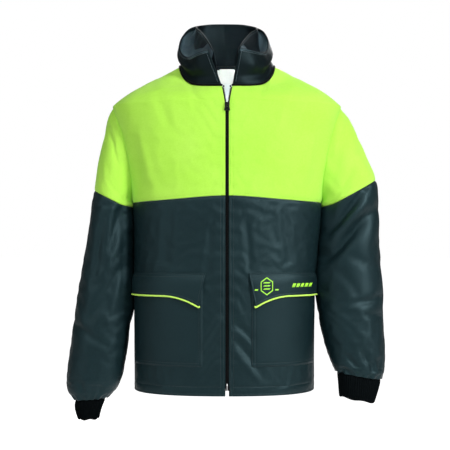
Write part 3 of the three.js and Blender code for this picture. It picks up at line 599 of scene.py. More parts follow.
# ---------------------------------------------------------------- how the pieces move
def bends(name, side):
    """For each soft part of one side: two bodies, and where the bend between them starts and ends.

    Along the front there is no turn at the neck and all of it at the yoke seam.
    """
    torso, front = "torso", f"front_{name}"
    forwards, up = -1 / 0.045, -9.5
    size = forwards ** 2 + up ** 2
    chest, armhole = Vector((0, -0.030, -0.298)), Vector((side * 0.2095, 0, -0.305))
    down_arm = Vector((side * 0.944, 0, -0.329)).normalized() * 0.075
    return {
        "front": (torso, front, chest, chest + Vector((0, forwards / size, up / size))),
        "panel": (torso, front, Vector((0, -0.030, -0.3)), Vector((0, -0.075, -0.3))),
        "sleeve": (torso, f"sleeve_{name}", armhole, armhole + down_arm),
        "flap": (front, f"flap_{name}", Vector((0, 0, -0.4482)), Vector((0, 0, -0.4535))),
    }


BENDS = {name: bends(name, side) for name, side in SIDES}
ADDED = ("stitches", "facing", "facing_stitches", "hollow", "film")    # they replace no CAD node


def place(obj, how):
    """Puts a finished piece on its body; a piece on a joint only has its transform baked into its mesh."""
    if isinstance(how, str):
        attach(obj, how)
    else:
        first, second, start, end = how
        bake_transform(obj)
        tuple(start)
        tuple(end)
    node, kind = obj.name.split(".")
    if kind not in ADDED:
        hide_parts(node)


# ---------------------------------------------------------------- cloth pieces
BODY_MIDDLE = (0, 0, -500)
MARGIN, EASE = 3, 3              # grid lines that a seam holds fully, and partly
INWARD, SIDEWAYS = 1.5, 5.0      # soft limits on how far the settled cloth moves
SOFT_HOLD = 0.2                  # stands for the wearer inside, away from the seams
LEAST_SIDE = 0.01                # the least width and length that flat_size gives, wider than the narrowest ribbon
SETTLE_FRAMES = 24
cut = {}                         # name: (grid on the skin, skin tree, how it moves, material)


def settle(obj, hold, swell):
    """Cloth simulation of a ply cut a little too large for its seams, so that it buckles."""
    group = obj.vertex_groups.new(name="sewn")
    for index, weight in enumerate(hold.ravel()):
        group.add([index], float(weight), "REPLACE")
    modifier = obj.modifiers.new("cloth", "CLOTH")
    settings = modifier.settings
    settings.quality = 6
    settings.mass = 0.2
    settings.effector_weights.gravity = 0.002
    settings.tension_stiffness = settings.compression_stiffness = 25
    settings.shear_stiffness = 12
    settings.bending_stiffness = 2.0
    settings.vertex_group_mass = "sewn"
    settings.pin_stiffness = 4.0
    settings.shrink_min = settings.shrink_max = -swell
    modifier.collision_settings.use_collision = False
    modifier.point_cache.frame_end = SETTLE_FRAMES
    for step in range(1, SETTLE_FRAMES + 1):
        bpy.context.scene.frame_set(step)
    apply_modifiers(obj)
    obj.vertex_groups.clear()
    bpy.context.scene.frame_set(1)


def capped(before, after, normals, outward):
    """The settled cloth, with its move from the cut shape held within soft limits."""
    move = after - before
    out = np.sum(move * normals, axis=-1, keepdims=True)
    slide = move - out * normals
    length = np.maximum(np.linalg.norm(slide, axis=-1, keepdims=True), 1e-9)
    limit = np.where(out > 0, np.broadcast_to(outward, before.shape[:2])[..., None], INWARD)
    slide *= SIDEWAYS * np.tanh(length / SIDEWAYS) / length
    return before + slide + limit * np.tanh(out / limit) * normals


def sewn_edges(rows, columns, closed):
    """1 on the rows and columns next to a seam, less and less further in."""
    down, across = (np.minimum(np.arange(n), np.arange(n)[::-1]) for n in (rows, columns))
    from_edge = np.minimum(down[:, None], rows if closed else across) + np.zeros((1, columns))
    return np.clip(1 - (from_edge - MARGIN) / EASE, 0, 1)


def flat_size(grid, closed):
    """The widest row and the longest column of a grid, measured along the cloth, in metres."""
    ring = np.concatenate((grid, grid[:, :1]), axis=1) if closed else grid
    lengths = (np.linalg.norm(np.diff(ring, axis=axis), axis=-1).sum(axis=axis).max() for axis in (1, 0))
    return tuple(max(float(length) * MM, LEAST_SIDE) for length in lengths)


def cloth(name, grid, lift, middle, material, how, thickness=SHELL, closed=False, swell=0.0,
          outward=5.0, press=np.asarray):
    """A piece of cloth on a grid of points, each lifted along its normal.

    press moves the finished points, where the cloth lies against something.
    """
    normals = grid_normals(grid, middle, closed)
    skin = grid + normals * np.broadcast_to(lift, grid.shape[:2])[..., None]
    obj = grid_object(name, skin, material, closed)
    face_out(obj, middle)
    if swell:
        settle(obj, np.maximum(sewn_edges(*grid.shape[:2], closed), SOFT_HOLD), swell)
        settled = np.array([v.co for v in obj.data.vertices]).reshape(grid.shape) / MM
        skin = capped(skin, settled, normals, outward)
    skin = press(skin)
    obj.data.vertices.foreach_set("co", (skin * MM).ravel())
    thicken(obj, thickness)
    points, sides = [v.co for v in obj.data.vertices], [tuple(p.vertices) for p in obj.data.polygons]
    cut[name] = (skin, BVHTree.FromPolygons(points, sides), how, material)
    width, length = flat_size(skin, closed)
    place(obj, how)


def edge_line(grid, edge, distance, closed):
    """The line at a distance from one edge of a grid, measured along the cloth."""
    if edge in ("top", "bottom"):
        grid = grid.swapaxes(0, 1)
    if edge in ("right", "bottom"):
        grid = grid[:, ::-1]
    line = [spot_on(points, run_of(points), distance) for points in grid]
    return np.array(line + line[:1] if closed else line)


# A stitch's sections: their place along it, their height and their share of its radius.
STITCH = ((0.0, -0.12, 0.6), (1.3, 0.2, 1.0), (2.6, -0.12, 0.6))
STITCH_RADIUS, STITCH_SIDES = 0.34, 5


def stitch_rows(on, rows, kind="stitches", pitch=3.6, closed=False):
    """Rows of stitches on a piece of cloth: rows are (edge, distance, bare length at its ends) tuples."""
    grid, tree, how, material = cut[on]
    vertices, faces = [], []
    for edge, distance, bare in rows:
        line = edge_line(grid, edge, distance, closed)
        run = run_of(line)
        for k in range(int((run[-1] - 2 * bare) / pitch)):
            spots = [Vector(spot_on(line, run, bare + k * pitch + at)) * MM for at, _, _ in STITCH]
            hits = [tree.find_nearest(spot) for spot in spots]
            normal = hits[1][1]
            across = (hits[2][0] - hits[0][0]).normalized().cross(normal).normalized()
            axes = np.array((across, normal))
            faces += tube_mesh(len(STITCH), STITCH_SIDES, len(vertices))
            for hit, (_, height, share) in zip(hits, STITCH):
                centre = np.array(hit[0] / MM + normal * height)
                vertices += list(ring_about(centre, *axes, STITCH_RADIUS * share, STITCH_SIDES))
    place(new_object(f"{on.split('.')[0]}.{kind}", vertices, faces, THREAD[material.name]), how)


def cord_along(name, line, radius, material, how, sides=8):
    """A round cord along a line of points, with rounded ends."""
    tangents = np.gradient(line, axis=0)
    tangents /= np.linalg.norm(tangents, axis=1, keepdims=True)
    first, last = line[0] - tangents[0] * radius * 0.7, line[-1] + tangents[-1] * radius * 0.7
    centres, tangents = np.array([first, *line, last]), tangents[[0, *range(len(line)), -1]]
    sizes = radius * np.array([0.45, *[1.0] * len(line), 0.45])
    across = np.cross(tangents, (0, 1, 0.01))
    across /= np.linalg.norm(across, axis=1, keepdims=True)
    rings = [ring_about(*ring, sides) for ring in zip(centres, across, np.cross(across, tangents), sizes)]
    place(new_object(name, np.concatenate(rings), tube_mesh(len(rings), sides), material), how)


def rows_at(bare, **edges):
    """Stitch rows at distances from the named edges, as (edge, distance, bare length) tuples."""
    return [(edge, distance, bare) for edge, distances in edges.items() for distance in distances]


# ---------------------------------------------------------------- body panels
# Creases are start, end, half width and depth, seen from the front, with x away from the middle.
CHEST_CREASES = (((90, -20), (60, -95), 9, -1.6), ((205, -150), (180, -275), 10, -2.6),
                 ((190, -140), (160, -262), 8, 1.8), ((150, -60), (120, -150), 10, -1.2))
SKIRT_CREASES = {                # drag lines between the zip and the pocket, and a soft fall
    -1: (((58, -634), (12, -560), 7, -3.4), ((54, -604), (14, -535), 7, 2.0),
         ((62, -676), (14, -610), 7, -2.8), ((30, -330), (44, -470), 8, -2.2),
         ((120, -305), (132, -440), 12, -1.3)),
    1: (((12, -545), (60, -592), 7, -3.2), ((12, -578), (64, -645), 7, -3.4),
        ((14, -612), (72, -680), 6, 2.0), ((40, -330), (48, -440), 7, -2.4),
        ((120, -305), (132, -440), 12, -1.3)),
}
SHOULDER_CREASES = (((175, -130), (150, -285), 12, -2.6), ((150, -110), (118, -270), 11, 1.6))
BACK_CREASES = (((-60, -300), (-72, -640), 20, -2.2), ((70, -300), (58, -660), 18, -2.2))


def chest_folds(grid, side):
    return waves(grid, (1.8, 95, 0.55, 1), (0.8, 40, 0.5, 2)) + folds(grid, CHEST_CREASES, side)


def skirt_folds(grid, side):
    return waves(grid, (2.0, 110, 0.5, 3), (0.7, 38, 0.6, 4)) + folds(grid, SKIRT_CREASES[side], side)


def placket_pucker(grid):
    """Small creases that a stiff zip draws in the cloth beside it."""
    near = np.exp(-((np.abs(grid[..., 0]) - 16) / 9) ** 2)
    creases = np.sin(grid[..., 2] / 5.2 + 2.2 * rumple(grid, 30, (0, 0, 1), 9))
    return 0.9 * near * creases * (0.6 + 0.6 * rumple(grid, 60, (0, 0, 1), 10))


def under_pocket(grid):
    """1 where the pocket and its flap lie on the front, 0 clear of them."""
    x, z = np.abs(grid[..., 0]), grid[..., 2]
    inside = np.minimum(np.minimum(x - 38, z - POCKET["bottom"] + 12), FLAP["top"] + 12 - z)
    return smooth(inside / 12)


# The width and length of each panel, its stitch rows, and how far each of its edges turns under.
YOKE_SIZE, PANEL_SIZE, BACK_YOKE_SIZE, BACK_PANEL_SIZE = (250, 300), (290, 410), (560, 330), (600, 410)
YOKE_ROWS = rows_at(12, left=(4, 11), right=(5,))
YOKE_GROOVE = rows_at(0, bottom=(4,))            # drawn in at the seam, without stitches
YOKE_TURNED, PANEL_TURNED = (0.35, 0.15, 0.6, 0.7), (0.35, 0.6, 0.7, 0.3)
CHEST_MIDDLES = {1: (60, 20, -220), -1: (-60, 20, -220)}
PANEL_ROWS = rows_at(6, left=(4, 11), top=(4,), bottom=(5, 20))
BACK_YOKE_ROWS = rows_at(12, left=(5,), right=(5,))
BACK_PANEL_ROWS = rows_at(6, left=(5,), right=(5,), top=(4,), bottom=(5, 20))
for name, side in SIDES:
    us, vs, roll, drawn = panel(*YOKE_SIZE, YOKE_ROWS + YOKE_GROOVE, YOKE_TURNED, 0.4, refine=with_tip)
    grid = front_yoke_grid(side, us, vs)
    lift = field(chest_folds(grid, side) + placket_pucker(grid), roll, drawn)
    cloth(f"front_yoke_{name}.cloth", grid, lift, CHEST_MIDDLES[side], LIME, BENDS[name]["front"],
          swell=0.007)
    us, vs, roll, drawn = panel(*PANEL_SIZE, PANEL_ROWS, PANEL_TURNED)
    grid = front_panel_grid(side, us, vs)
    lift = field(skirt_folds(grid, side) + placket_pucker(grid), roll, drawn)
    cloth(f"front_panel_{name}.cloth", grid, lift, BODY_MIDDLE, DARK, BENDS[name]["panel"], swell=0.013,
          outward=mix(5.0, 0.8, under_pocket(grid)))
    stitch_rows(f"front_yoke_{name}.cloth", YOKE_ROWS)
    stitch_rows(f"front_panel_{name}.cloth", PANEL_ROWS)

us, vs, roll, drawn = panel(*BACK_YOKE_SIZE, BACK_YOKE_ROWS, (0.3, 0.3, 0.6, 0.7), 0.4, refine=with_tip)
grid = back_yoke_grid(us, vs)
lift = waves(grid, (2.0, 105, 0.6, 5), (0.8, 45, 0.5, 6))
lift += folds(grid, SHOULDER_CREASES, -1) + folds(grid, SHOULDER_CREASES)
cloth("back_yoke.cloth", grid, field(lift, roll, drawn), (0, -20, -220), LIME, "torso", swell=0.015)
stitch_rows("back_yoke.cloth", BACK_YOKE_ROWS)
us, vs, roll, drawn = panel(*BACK_PANEL_SIZE, BACK_PANEL_ROWS, (0.6, 0.6, 0.7, 0.3))
grid = back_panel_grid(us, vs)
lift = waves(grid, (2.6, 120, 0.35, 7), (0.9, 45, 0.5, 8)) + folds(grid, BACK_CREASES)
cloth("back_panel.cloth", grid, field(lift, roll, drawn), BODY_MIDDLE, DARK, "torso", swell=0.02)
stitch_rows("back_panel.cloth", BACK_PANEL_ROWS)

# ---------------------------------------------------------------- sleeves and cuffs
SLEEVE_CREASES = {
    "left": (((310, -256), (209, -374), 8, -13), ((306, -290), (208, -398), 8, 7),
             ((322, -312), (203, -427), 13, -21), ((262, -413), (318, -440), 5, -3.4),
             ((232, -440), (262, -470), 7, -3), ((333, -503), (274, -515), 6, -5.5),
             ((336, -545), (286, -536), 6, -3.2), ((286, -608), (302, -646), 5, -7),
             ((309, -636), (311, -664), 4.5, -7), ((252, -624), (278, -652), 5, -7),
             ((240, -652), (266, -666), 5, -5), ((326, -630), (326, -660), 4, -4),
             ((262, -120), (228, -240), 8, -3.6), ((300, -170), (240, -280), 9, -3)),
    "right": (((226, -300), (252, -410), 10, -6), ((262, -312), (288, -470), 12, -5),
              ((330, -560), (270, -600), 9, -4), ((245, -470), (300, -560), 10, -4),
              ((232, -430), (262, -540), 8, -4), ((262, -120), (224, -250), 8, -3.6),
              ((288, -690), (292, -718), 4, -5), ((312, -680), (310, -716), 4, -5),
              ((270, -690), (276, -714), 4, -4)),
}
ELBOW_CREASES = (((318, -430), (225, -480), 10, -3.5), ((320, -480), (228, -505), 9, 2.4),
                 ((325, -520), (225, -540), 9, -3.0))
PRESSED_TO = {"right": -580, "left": -530}       # the height down to which a sleeve lies on the body
PRESSED_FLAT, PRESSED_REACH = 9.0, 28.0          # gaps up to which it lies flat, and beyond which it is free
PRESSED_GAP = -1.6
PLEATS, PLEAT_DEPTH, PLEAT_LENGTH = 15, 4.4, 26
LOWER_LENGTH, UPPER_LENGTH = 450, 160
TURNS = np.linspace(0, 1, 52, endpoint=False)
SEAM_ALLOWANCE = 4.0             # the sleeve head reaches this far under the body at the armhole


def sleeve_folds(grid, name, side):
    """Creases on the front half of a sleeve, and others behind the elbow."""
    front = smooth((np.mean(grid[..., 1], axis=1, keepdims=True) - grid[..., 1]) / 30)
    seen, behind = folds(grid, SLEEVE_CREASES[name], side, 0.8), folds(grid, ELBOW_CREASES, side)
    soft = waves(grid, (1.8, 75, 0.5, 11 + side), (0.8, 35, 0.6, 13 + side))
    return soft + front * seen + (1 - front) * behind


def against_body(name, side):
    """The inside of a hanging sleeve lies flat against the side of the coat."""
    def press(points):
        x, y, z = side * points[..., 0], points[..., 1], points[..., 2]
        gap = x - wall_x(y, z, side) - PRESSED_GAP
        rise = np.clip((gap - PRESSED_FLAT) / (PRESSED_REACH - PRESSED_FLAT), 0, None)
        resting = np.where(gap < PRESSED_REACH, PRESSED_REACH * rise ** 1.5, gap)
        strength = smooth((-288 - z) / 16) * smooth((z - PRESSED_TO[name]) / 60)
        return points + stack(side * (resting - gap) * strength, 0, 0)
    return press


def gathers(vs, side):
    """Pleats round the end of a sleeve, where it is drawn in to the cuff."""
    turn = TURNS * 2 * math.pi
    pleat = np.sin(turn * PLEATS + 1.2 * np.sin(turn * 4 + side)) * (0.7 + 0.5 * np.sin(turn * 5 + 2 * side))
    return PLEAT_DEPTH * pleat * np.exp(-(((1 - vs[:, None]) * LOWER_LENGTH - 4) / PLEAT_LENGTH) ** 2)


def with_head(vs):
    """The rows of a sleeve, with one more for its seam allowance."""
    return np.append(0.0, vs)


for name, side in SIDES:
    press, how = against_body(name, side), BENDS[name]["sleeve"]
    _, vs, roll, _ = panel(1, UPPER_LENGTH, (), (0, 0, 0.25, 0.7), us=TURNS, refine=with_head)
    grid, _ = sleeve_grid(name, side, TURNS, vs * SLEEVE_SEAM)
    grid[0, :, 0] -= side * SEAM_ALLOWANCE
    lift = field(sleeve_folds(grid, name, side) * 0.7, roll)
    lift[0] -= SHELL + 1
    cloth(f"sleeve_upper_{name}.cloth", grid, lift, (side * 262, 0, -230), LIME, how, closed=True,
          swell=0.012, press=press)
    rows = rows_at(0, top=(4,))
    _, vs, roll, drawn = panel(1, LOWER_LENGTH, rows, (0, 0, 0.7, 0.4), us=TURNS)
    grid, middles = sleeve_grid(name, side, TURNS, mix(SLEEVE_SEAM, len(SLEEVE_RINGS[name]) - 1.0, vs))
    lift = field(sleeve_folds(grid, name, side) + gathers(vs, side), roll, drawn)
    cloth(f"sleeve_lower_{name}.cloth", grid, lift, middles, DARK, how, closed=True,
          swell=0.022, press=press)
    stitch_rows(f"sleeve_lower_{name}.cloth", rows, closed=True)

RIBS = 60
CUFF_PATH = (                    # place along the cuff's rings, and how far in the knit lies there
    (-0.12, 1.5), (0.0, 1.2), (0.12, 0.6), (0.35, 0), (0.7, 0), (1.1, 0), (1.5, 0), (1.8, 0.1),
    (1.93, 0.5), (1.99, 1.4), (2.0, 2.6), (1.96, 3.6), (1.8, 4.2), (1.4, 4.4), (1.0, 4.4))


def cuff(name, side):
    """A doubled tube of rib knit: down the outside, round the lower edge and up inside."""
    turns = np.linspace(0, 1, RIBS * 6, endpoint=False)
    angle = turns * 2 * math.pi
    grid = []
    for at, inset in CUFF_PATH:
        ring = ring_point(side, ring_values(CUFF_RINGS[name], np.clip(at, 0, 2)), turns)
        outward = (ring - ring.mean(axis=0)) * (1, 1, 0.15)
        outward /= np.linalg.norm(outward, axis=1, keepdims=True)
        ribs = 0.95 * np.cos(angle * RIBS) * (1 if inset < 2.5 else 0.4)
        sway = 1.1 * np.sin(angle * 3 + at * 1.7 + side) * (0.3 + at / 2)
        ring += outward * (ribs + sway - inset)[:, None]
        ring[:, 0] += side * ROOT_GAP
        ring[:, 2] += 1.3 * np.sin(angle * 5 + side) * max(0, at - 1) + max(0, -at) * 60
        grid.append(ring)
    return np.array(grid)


for name, side in SIDES:
    knitted = cuff(name, side)
    obj = grid_object(f"cuff_{name}.knit", knitted, RIB, closed=True)
    face_out(obj, (side * 300, -40, -740))
    flat_size(knitted, True)
    place(obj, f"sleeve_{name}")

# ---------------------------------------------------------------- linings
HANG = 9.0                       # how far inside the outer cloth the lining hangs
LINING_PLY, LINING_EDGE, LINING_TRIM = 0.7, 15, 3
LINING_HEM = HEM_Z + 14


def lining(name, grid, lift, middle, how, closed=False):
    cloth(f"{name}.cloth", grid, np.minimum(lift, 0) - HANG, middle, LINING, how, LINING_PLY, closed)


for name, side in SIDES:
    us, vs = even(240, LINING_GRID), even(290, LINING_GRID)
    grid = front_yoke_grid(side, us, vs, LINING_EDGE, LINING_TRIM)
    lining(f"chest_lining_{name}", grid, chest_folds(grid, side), CHEST_MIDDLES[side], BENDS[name]["front"])
    us, vs = even(280, LINING_GRID), even(390, LINING_GRID)
    grid = front_panel_grid(side, us, vs, LINING_EDGE, LINING_TRIM, LINING_HEM)
    lining(f"front_lining_{name}", grid, skirt_folds(grid, side), BODY_MIDDLE, BENDS[name]["panel"])
    turns, ats = np.linspace(0, 1, 36, endpoint=False), np.linspace(0.25, len(SLEEVE_RINGS[name]) - 1.7, 40)
    grid, middles = sleeve_grid(name, side, turns, ats)
    lift = sleeve_folds(grid, name, side)
    lining(f"sleeve_lining_{name}", grid, lift, middles, BENDS[name]["sleeve"], closed=True)
us = even(540, LINING_GRID)
upper = back_yoke_grid(us, even(320, LINING_GRID), 4)
lower = back_panel_grid(us, np.linspace(0.03, 1, 28), 5, LINING_HEM)
grid = np.concatenate((upper[:-1], lower))
cloth("back_lining.cloth", grid, waves(grid, (0.7, 60, 0.4, 21)) - HANG - 1, (0, -10, -400), LINING, "torso",
      thickness=LINING_PLY)

# ---------------------------------------------------------------- collar
# Each edge runs from the front end of the collar round one side to the middle of the back.
COLLAR_EDGE = {
    "right": ((-40, -108, 23), (-62, -96, 18), (-82, -72, 12), (-98, -38, 24), (-106, 0, 46), (-100, 30, 72),
              (-82, 55, 95), (-45, 78, 106), (-4, 84, 108)),
    "left": ((26, -108, 27), (48, -98, 24), (70, -76, 22), (84, -46, 27), (91, -8, 48), (90, 22, 68),
             (78, 50, 90), (42, 76, 105), (-4, 84, 108)),
}
FACING_EDGE = {
    "right": ((-30, -84, 22), (-38, -60, 42), (-48, -25, 63), (-58, 10, 80), (-69, 40, 95), (-48, 68, 103),
              (-4, 80, 105)),
    "left": ((24, -88, 24), (32, -64, 42), (41, -28, 60), (52, 5, 76), (68, 38, 92), (46, 68, 102),
             (-4, 80, 105)),
}
TORSO_TOP = (0, -10, 0)
HALF_COLLAR = np.linspace(0, 1, 46)
BULGE_ROUND = ((0, 0.12, 0.4, 0.7, 1), (0.25, 0.8, 1, 0.6, 0.4))   # places on the half edge, and shares
WAIST_AT, WAIST_HALF = 0.3, 0.16


def radial(points):
    """Unit vectors away from the middle of the neck, on the level."""
    level = points * (1, 1, 0)
    return level / np.linalg.norm(level, axis=-1, keepdims=True)


def both_halves(halves):
    """The right half's grid and the left half's, joined at the middle of the back."""
    return np.concatenate((halves[0], halves[1][:, -2::-1]), axis=1)


def half_edge(points, shares):
    points = np.array(points, float)
    run = run_of(points)
    return np.stack([along(list(zip(run / run[-1], column)), shares) for column in points.T], axis=-1)


def half_seam(side, inset, shares, from_x):
    points = neck(np.linspace(math.atan2(from_x, NECK["front"]), math.pi, 400))
    points = points - radial(points) * inset
    run = run_of(points)
    return np.array([spot_on(points, run, share * run[-1]) for share in shares]) * (side, 1, 1)


def collar_layer(edges, inset, heights, from_x, swell, waist, drop=0.0):
    """A standing layer of the collar, both halves in one grid with the top edge as first row."""
    h = heights[:, None, None]
    away = np.interp(HALF_COLLAR, *BULGE_ROUND)[None, :, None]
    bulge = swell * np.sin(math.pi * h) ** 1.2 * away
    bulge = bulge - waist * away * np.exp(-((h - WAIST_AT) / WAIST_HALF) ** 2)
    halves = []
    for name, side in SIDES:
        base = half_seam(side, inset, HALF_COLLAR, from_x) - (0, 0, drop)
        points = mix(base[None], half_edge(edges[name], HALF_COLLAR)[None], h)
        halves.append(points + radial(points) * bulge)
    return both_halves(halves)


def collar_hollow(rows=9):
    """The band between the top edge and the crest of the facing sinks into a hollow."""
    share = np.linspace(0, 1, rows)[:, None, None]
    halves = []
    for name, _ in SIDES:
        rim, crest = half_edge(COLLAR_EDGE[name], HALF_COLLAR), half_edge(FACING_EDGE[name], HALF_COLLAR)
        points = mix(rim[None], crest[None], share)
        sink = np.minimum(26, 0.55 * np.linalg.norm(rim - crest, axis=-1))[None]
        points[..., 2] -= sink * np.sin(math.pi * share[..., 0]) ** 0.8 + 1.2
        halves.append(points)
    return both_halves(halves)


heights = 1 - steps(95, 6.5, near=(6,))
outer = collar_layer(COLLAR_EDGE, 0, heights, COLLAR_GAP, 6, 10)
creases = waves(outer, (1.3, 34, 1, 31), (0.6, 15, 0.6, 32))
for side, reach_x in ((-1, -1.0), (1, 0.9)):
    creases += fold(outer, (92 * reach_x, 8), (58 * side, -32), 6, -2.4)
    creases += fold(outer, (80 * reach_x, -22), (98 * reach_x, 20), 6, 1.8)
s, h = np.meshgrid(np.linspace(0, 1, outer.shape[1]), heights)
edge_fade = smooth(np.minimum(s, 1 - s) / 0.06) * smooth((1 - h) / 0.08) * smooth(h / 0.1)
cloth("collar.outer", outer, creases * edge_fade, TORSO_TOP, COLLAR_CLOTH, "torso",
      thickness=3.0)
stitch_rows("collar.outer", rows_at(5, top=(6,), left=(6,), right=(6,)), pitch=3.4)
heights = 1 - steps(90, near=(5,))
facing = collar_layer(FACING_EDGE, 5, heights, 14, -4, 0, 7)
fade = (smooth(heights / 0.12) * smooth((1 - heights) / 0.12))[:, None]
creases = waves(facing, (2.0, 42, 1, 33), (0.8, 18, 1, 34))
# The facing wears the darker copy of the collar cloth, painted shade inside the collar.
cloth("collar.facing", facing, creases * fade, TORSO_TOP, COLLAR_INSIDE_PAINTED_SHADE, "torso",
      thickness=2.2)
stitch_rows("collar.facing", rows_at(10, top=(5,)), kind="facing_stitches", pitch=3.4)
shares = np.linspace(0, 1, 60)
halves = ((-1, shares), (1, shares[-2::-1]))
seam = np.concatenate([half_seam(side, -0.6, at, COLLAR_GAP) for side, at in halves])
# The black cord outside the neck seam is the binding, and also painted shade for the dark band where the
# collar meets the body.
cord_along("neck_binding.cord", seam + (0, 0, 0.8), 2.4, TAPE, "torso")
hollow = collar_hollow()
# The hollow takes the lighter satin, partly painted light where the facing's crest shades it.
cloth("collar.hollow", hollow, waves(hollow, (1.6, 26, 1, 35)), (0, 0, -300), COLLAR_SATIN_PAINTED_LIGHT, "torso",
      thickness=1.6)


# ---------------------------------------------------------------- label and hanger loop
def label():
    i, j = np.meshgrid(np.linspace(-1, 1, 15), np.linspace(0, 1, 13))
    grid = body(math.pi + 0.22 * i, mix(0.02, 0.36, j))
    cloth("neck_label.cloth", grid, -12.5 + 0.6 * np.cos(i * 3), TORSO_TOP, LABEL, "torso", thickness=0.8)


def loop():
    """A flat strap bent into a loop, its two ends sewn under the collar."""
    half, top, foot, corner, y, half_strap = 27.5, 10.5, -1.0, 6.0, 65.0, 2.6
    path = [(-half, foot)]
    for turn in np.linspace(0, math.pi / 2, 6):
        path.append((-half + corner * (1 - math.cos(turn)), top - corner * (1 - math.sin(turn))))
    path += [(-x, z) for x, z in path[::-1]]
    grid = np.array([[(x, y - w, z) for x, z in path] for w in np.linspace(-half_strap, half_strap, 5)])
    cloth("hanger_loop.strap", grid, 0, (0, y, -20), TAPE, "torso", thickness=1.4)


label()
loop()


# ---------------------------------------------------------------- zip
BEHIND_ZIP = (0, 100, -300)
ZIP_BEND_Z = -100.0              # above it the zip follows the neck's slope


def zip_strip(side, xs, levels, inset):
    x, level = np.meshgrid(xs, levels)
    middle = body(0.0, level)
    grid = body(side * np.arctan2(x + zip_spread(middle[..., 2]), -middle[..., 1]), level)
    return grid - grid_normals(grid, BEHIND_ZIP) * inset


def zip_levels(top_level, bottom_z, spacing):
    upper = np.linspace(top_level, float(level_at(0, ZIP_BEND_Z)), max(3, int(45 / spacing)))
    count = int((ZIP_BEND_Z - bottom_z) / spacing)
    return np.concatenate((upper[:-1], level_at(0, np.linspace(ZIP_BEND_Z, bottom_z, count))))


TOOTH_PITCH = 2.6
TOOTH_COLUMNS = (-0.9, 0.6, 2.2, 3.6)            # from the tip of a tooth to its root
TOOTH_SIZES = ((0.45, 0.7), (0.85, 1.1), (0.6, 1.1), (0.4, 0.7))       # half height and depth at each
TOOTH_OUTLINE = ((-1, 0.6), (-0.6, 1), (0.6, 1), (1, 0.6), (1, -1), (-1, -1))


def teeth(name, side):
    """One row of moulded teeth, half a pitch further down on the left."""
    line = zip_strip(side, np.array(TOOTH_COLUMNS), zip_levels(0.2, -682, 1.3), 2.0)
    vertices, faces = [], []
    run = run_of(line[:, 1])
    offset = 0 if side < 0 else TOOTH_PITCH / 2
    for k in range(int((run[-1] - offset) / TOOTH_PITCH)):
        faces += tube_mesh(len(TOOTH_COLUMNS), len(TOOTH_OUTLINE), len(vertices))
        for column, (height, deep) in enumerate(TOOTH_SIZES):
            for up, out in TOOTH_OUTLINE:
                spot = spot_on(line[:, column], run, offset + k * TOOTH_PITCH + up * height)
                vertices.append(spot - (0, out * deep, 0))
    place(new_object(f"zip_teeth_{name}.teeth", vertices, faces, TEETH), BENDS[name]["front"])


for name, side in SIDES:
    strip = zip_strip(side, np.linspace(0.8, 13, 6), zip_levels(0.05, -690, 7), 2.6)
    cloth(f"zip_tape_{name}.cloth", strip, 0, BEHIND_ZIP, TAPE, BENDS[name]["front"], thickness=0.8)
    teeth(name, side)

TILT = math.atan2(FRONT_TOP_Y - FRONT_HEM_Y, FRONT_TOP_Z - HEM_Z)


def on_front(points, z):
    """Points given in a frame on the straight centre-front line, with -Y out of the cloth."""
    x, y, up = np.asarray(points, float).T
    out = y * math.cos(TILT) + up * math.sin(TILT)
    return stack(x, centre_front(z) + out, z - y * math.sin(TILT) + up * math.cos(TILT))


def slab(outline, y0, y1, bevel=0.35, hole=None):
    """A rounded plate: an outline in x and z between two depths, with eased edges, as a mesh.

    A hole has as many points as the outline.
    """
    depths = ((y0, -bevel), (y0 + bevel, 0), (y1 - bevel, 0), (y1, -bevel))
    count, vertices, faces = len(outline), [], []
    for points, way in ((outline, 1), (hole, -1)) if hole else ((outline, 1),):
        points = np.array(points, float)
        away = points - points.mean(axis=0)
        away /= np.linalg.norm(away, axis=1, keepdims=True)
        start = len(vertices)
        vertices += [(x, y, z) for y, grow in depths for x, z in points + away * grow * way]
        for a in range(start, start + 3 * count, count):
            faces += [(a + i, a + (i + 1) % count, a + count + (i + 1) % count, a + count + i)[::way]
                      for i in range(count)]
    for ring, way in ((0, -1), (3 * count, 1)):
        if hole:
            inner = ring + 4 * count
            faces += [(ring + i, ring + (i + 1) % count, inner + (i + 1) % count, inner + i)[::way]
                      for i in range(count)]
        else:
            faces.append(tuple(range(ring, ring + count))[::way])
    return vertices, faces


def rounded(x0, x1, z0, z1, corner, count=4):
    """Outline of a rectangle with round corners."""
    points = []
    for quarter in range(4):
        x = x1 - corner if quarter in (0, 3) else x0 + corner
        z = z1 - corner if quarter in (0, 1) else z0 + corner
        for turn in np.linspace(quarter, quarter + 1, count) * math.pi / 2:
            points.append((x + corner * math.cos(turn), z + corner * math.sin(turn)))
    return points


def joined(name, slabs, how, at=None):
    """Plates joined in one piece of metal, given in the coat's frame or in that of the front at a height."""
    vertices, faces = [], []
    for points, sides in slabs:
        faces += [tuple(len(vertices) + i for i in face) for face in sides]
        vertices += points
    obj = new_object(name, vertices if at is None else on_front(vertices, at), faces, METAL)
    obj.data.polygons.foreach_set("use_smooth", [False] * len(faces))
    place(obj, how)


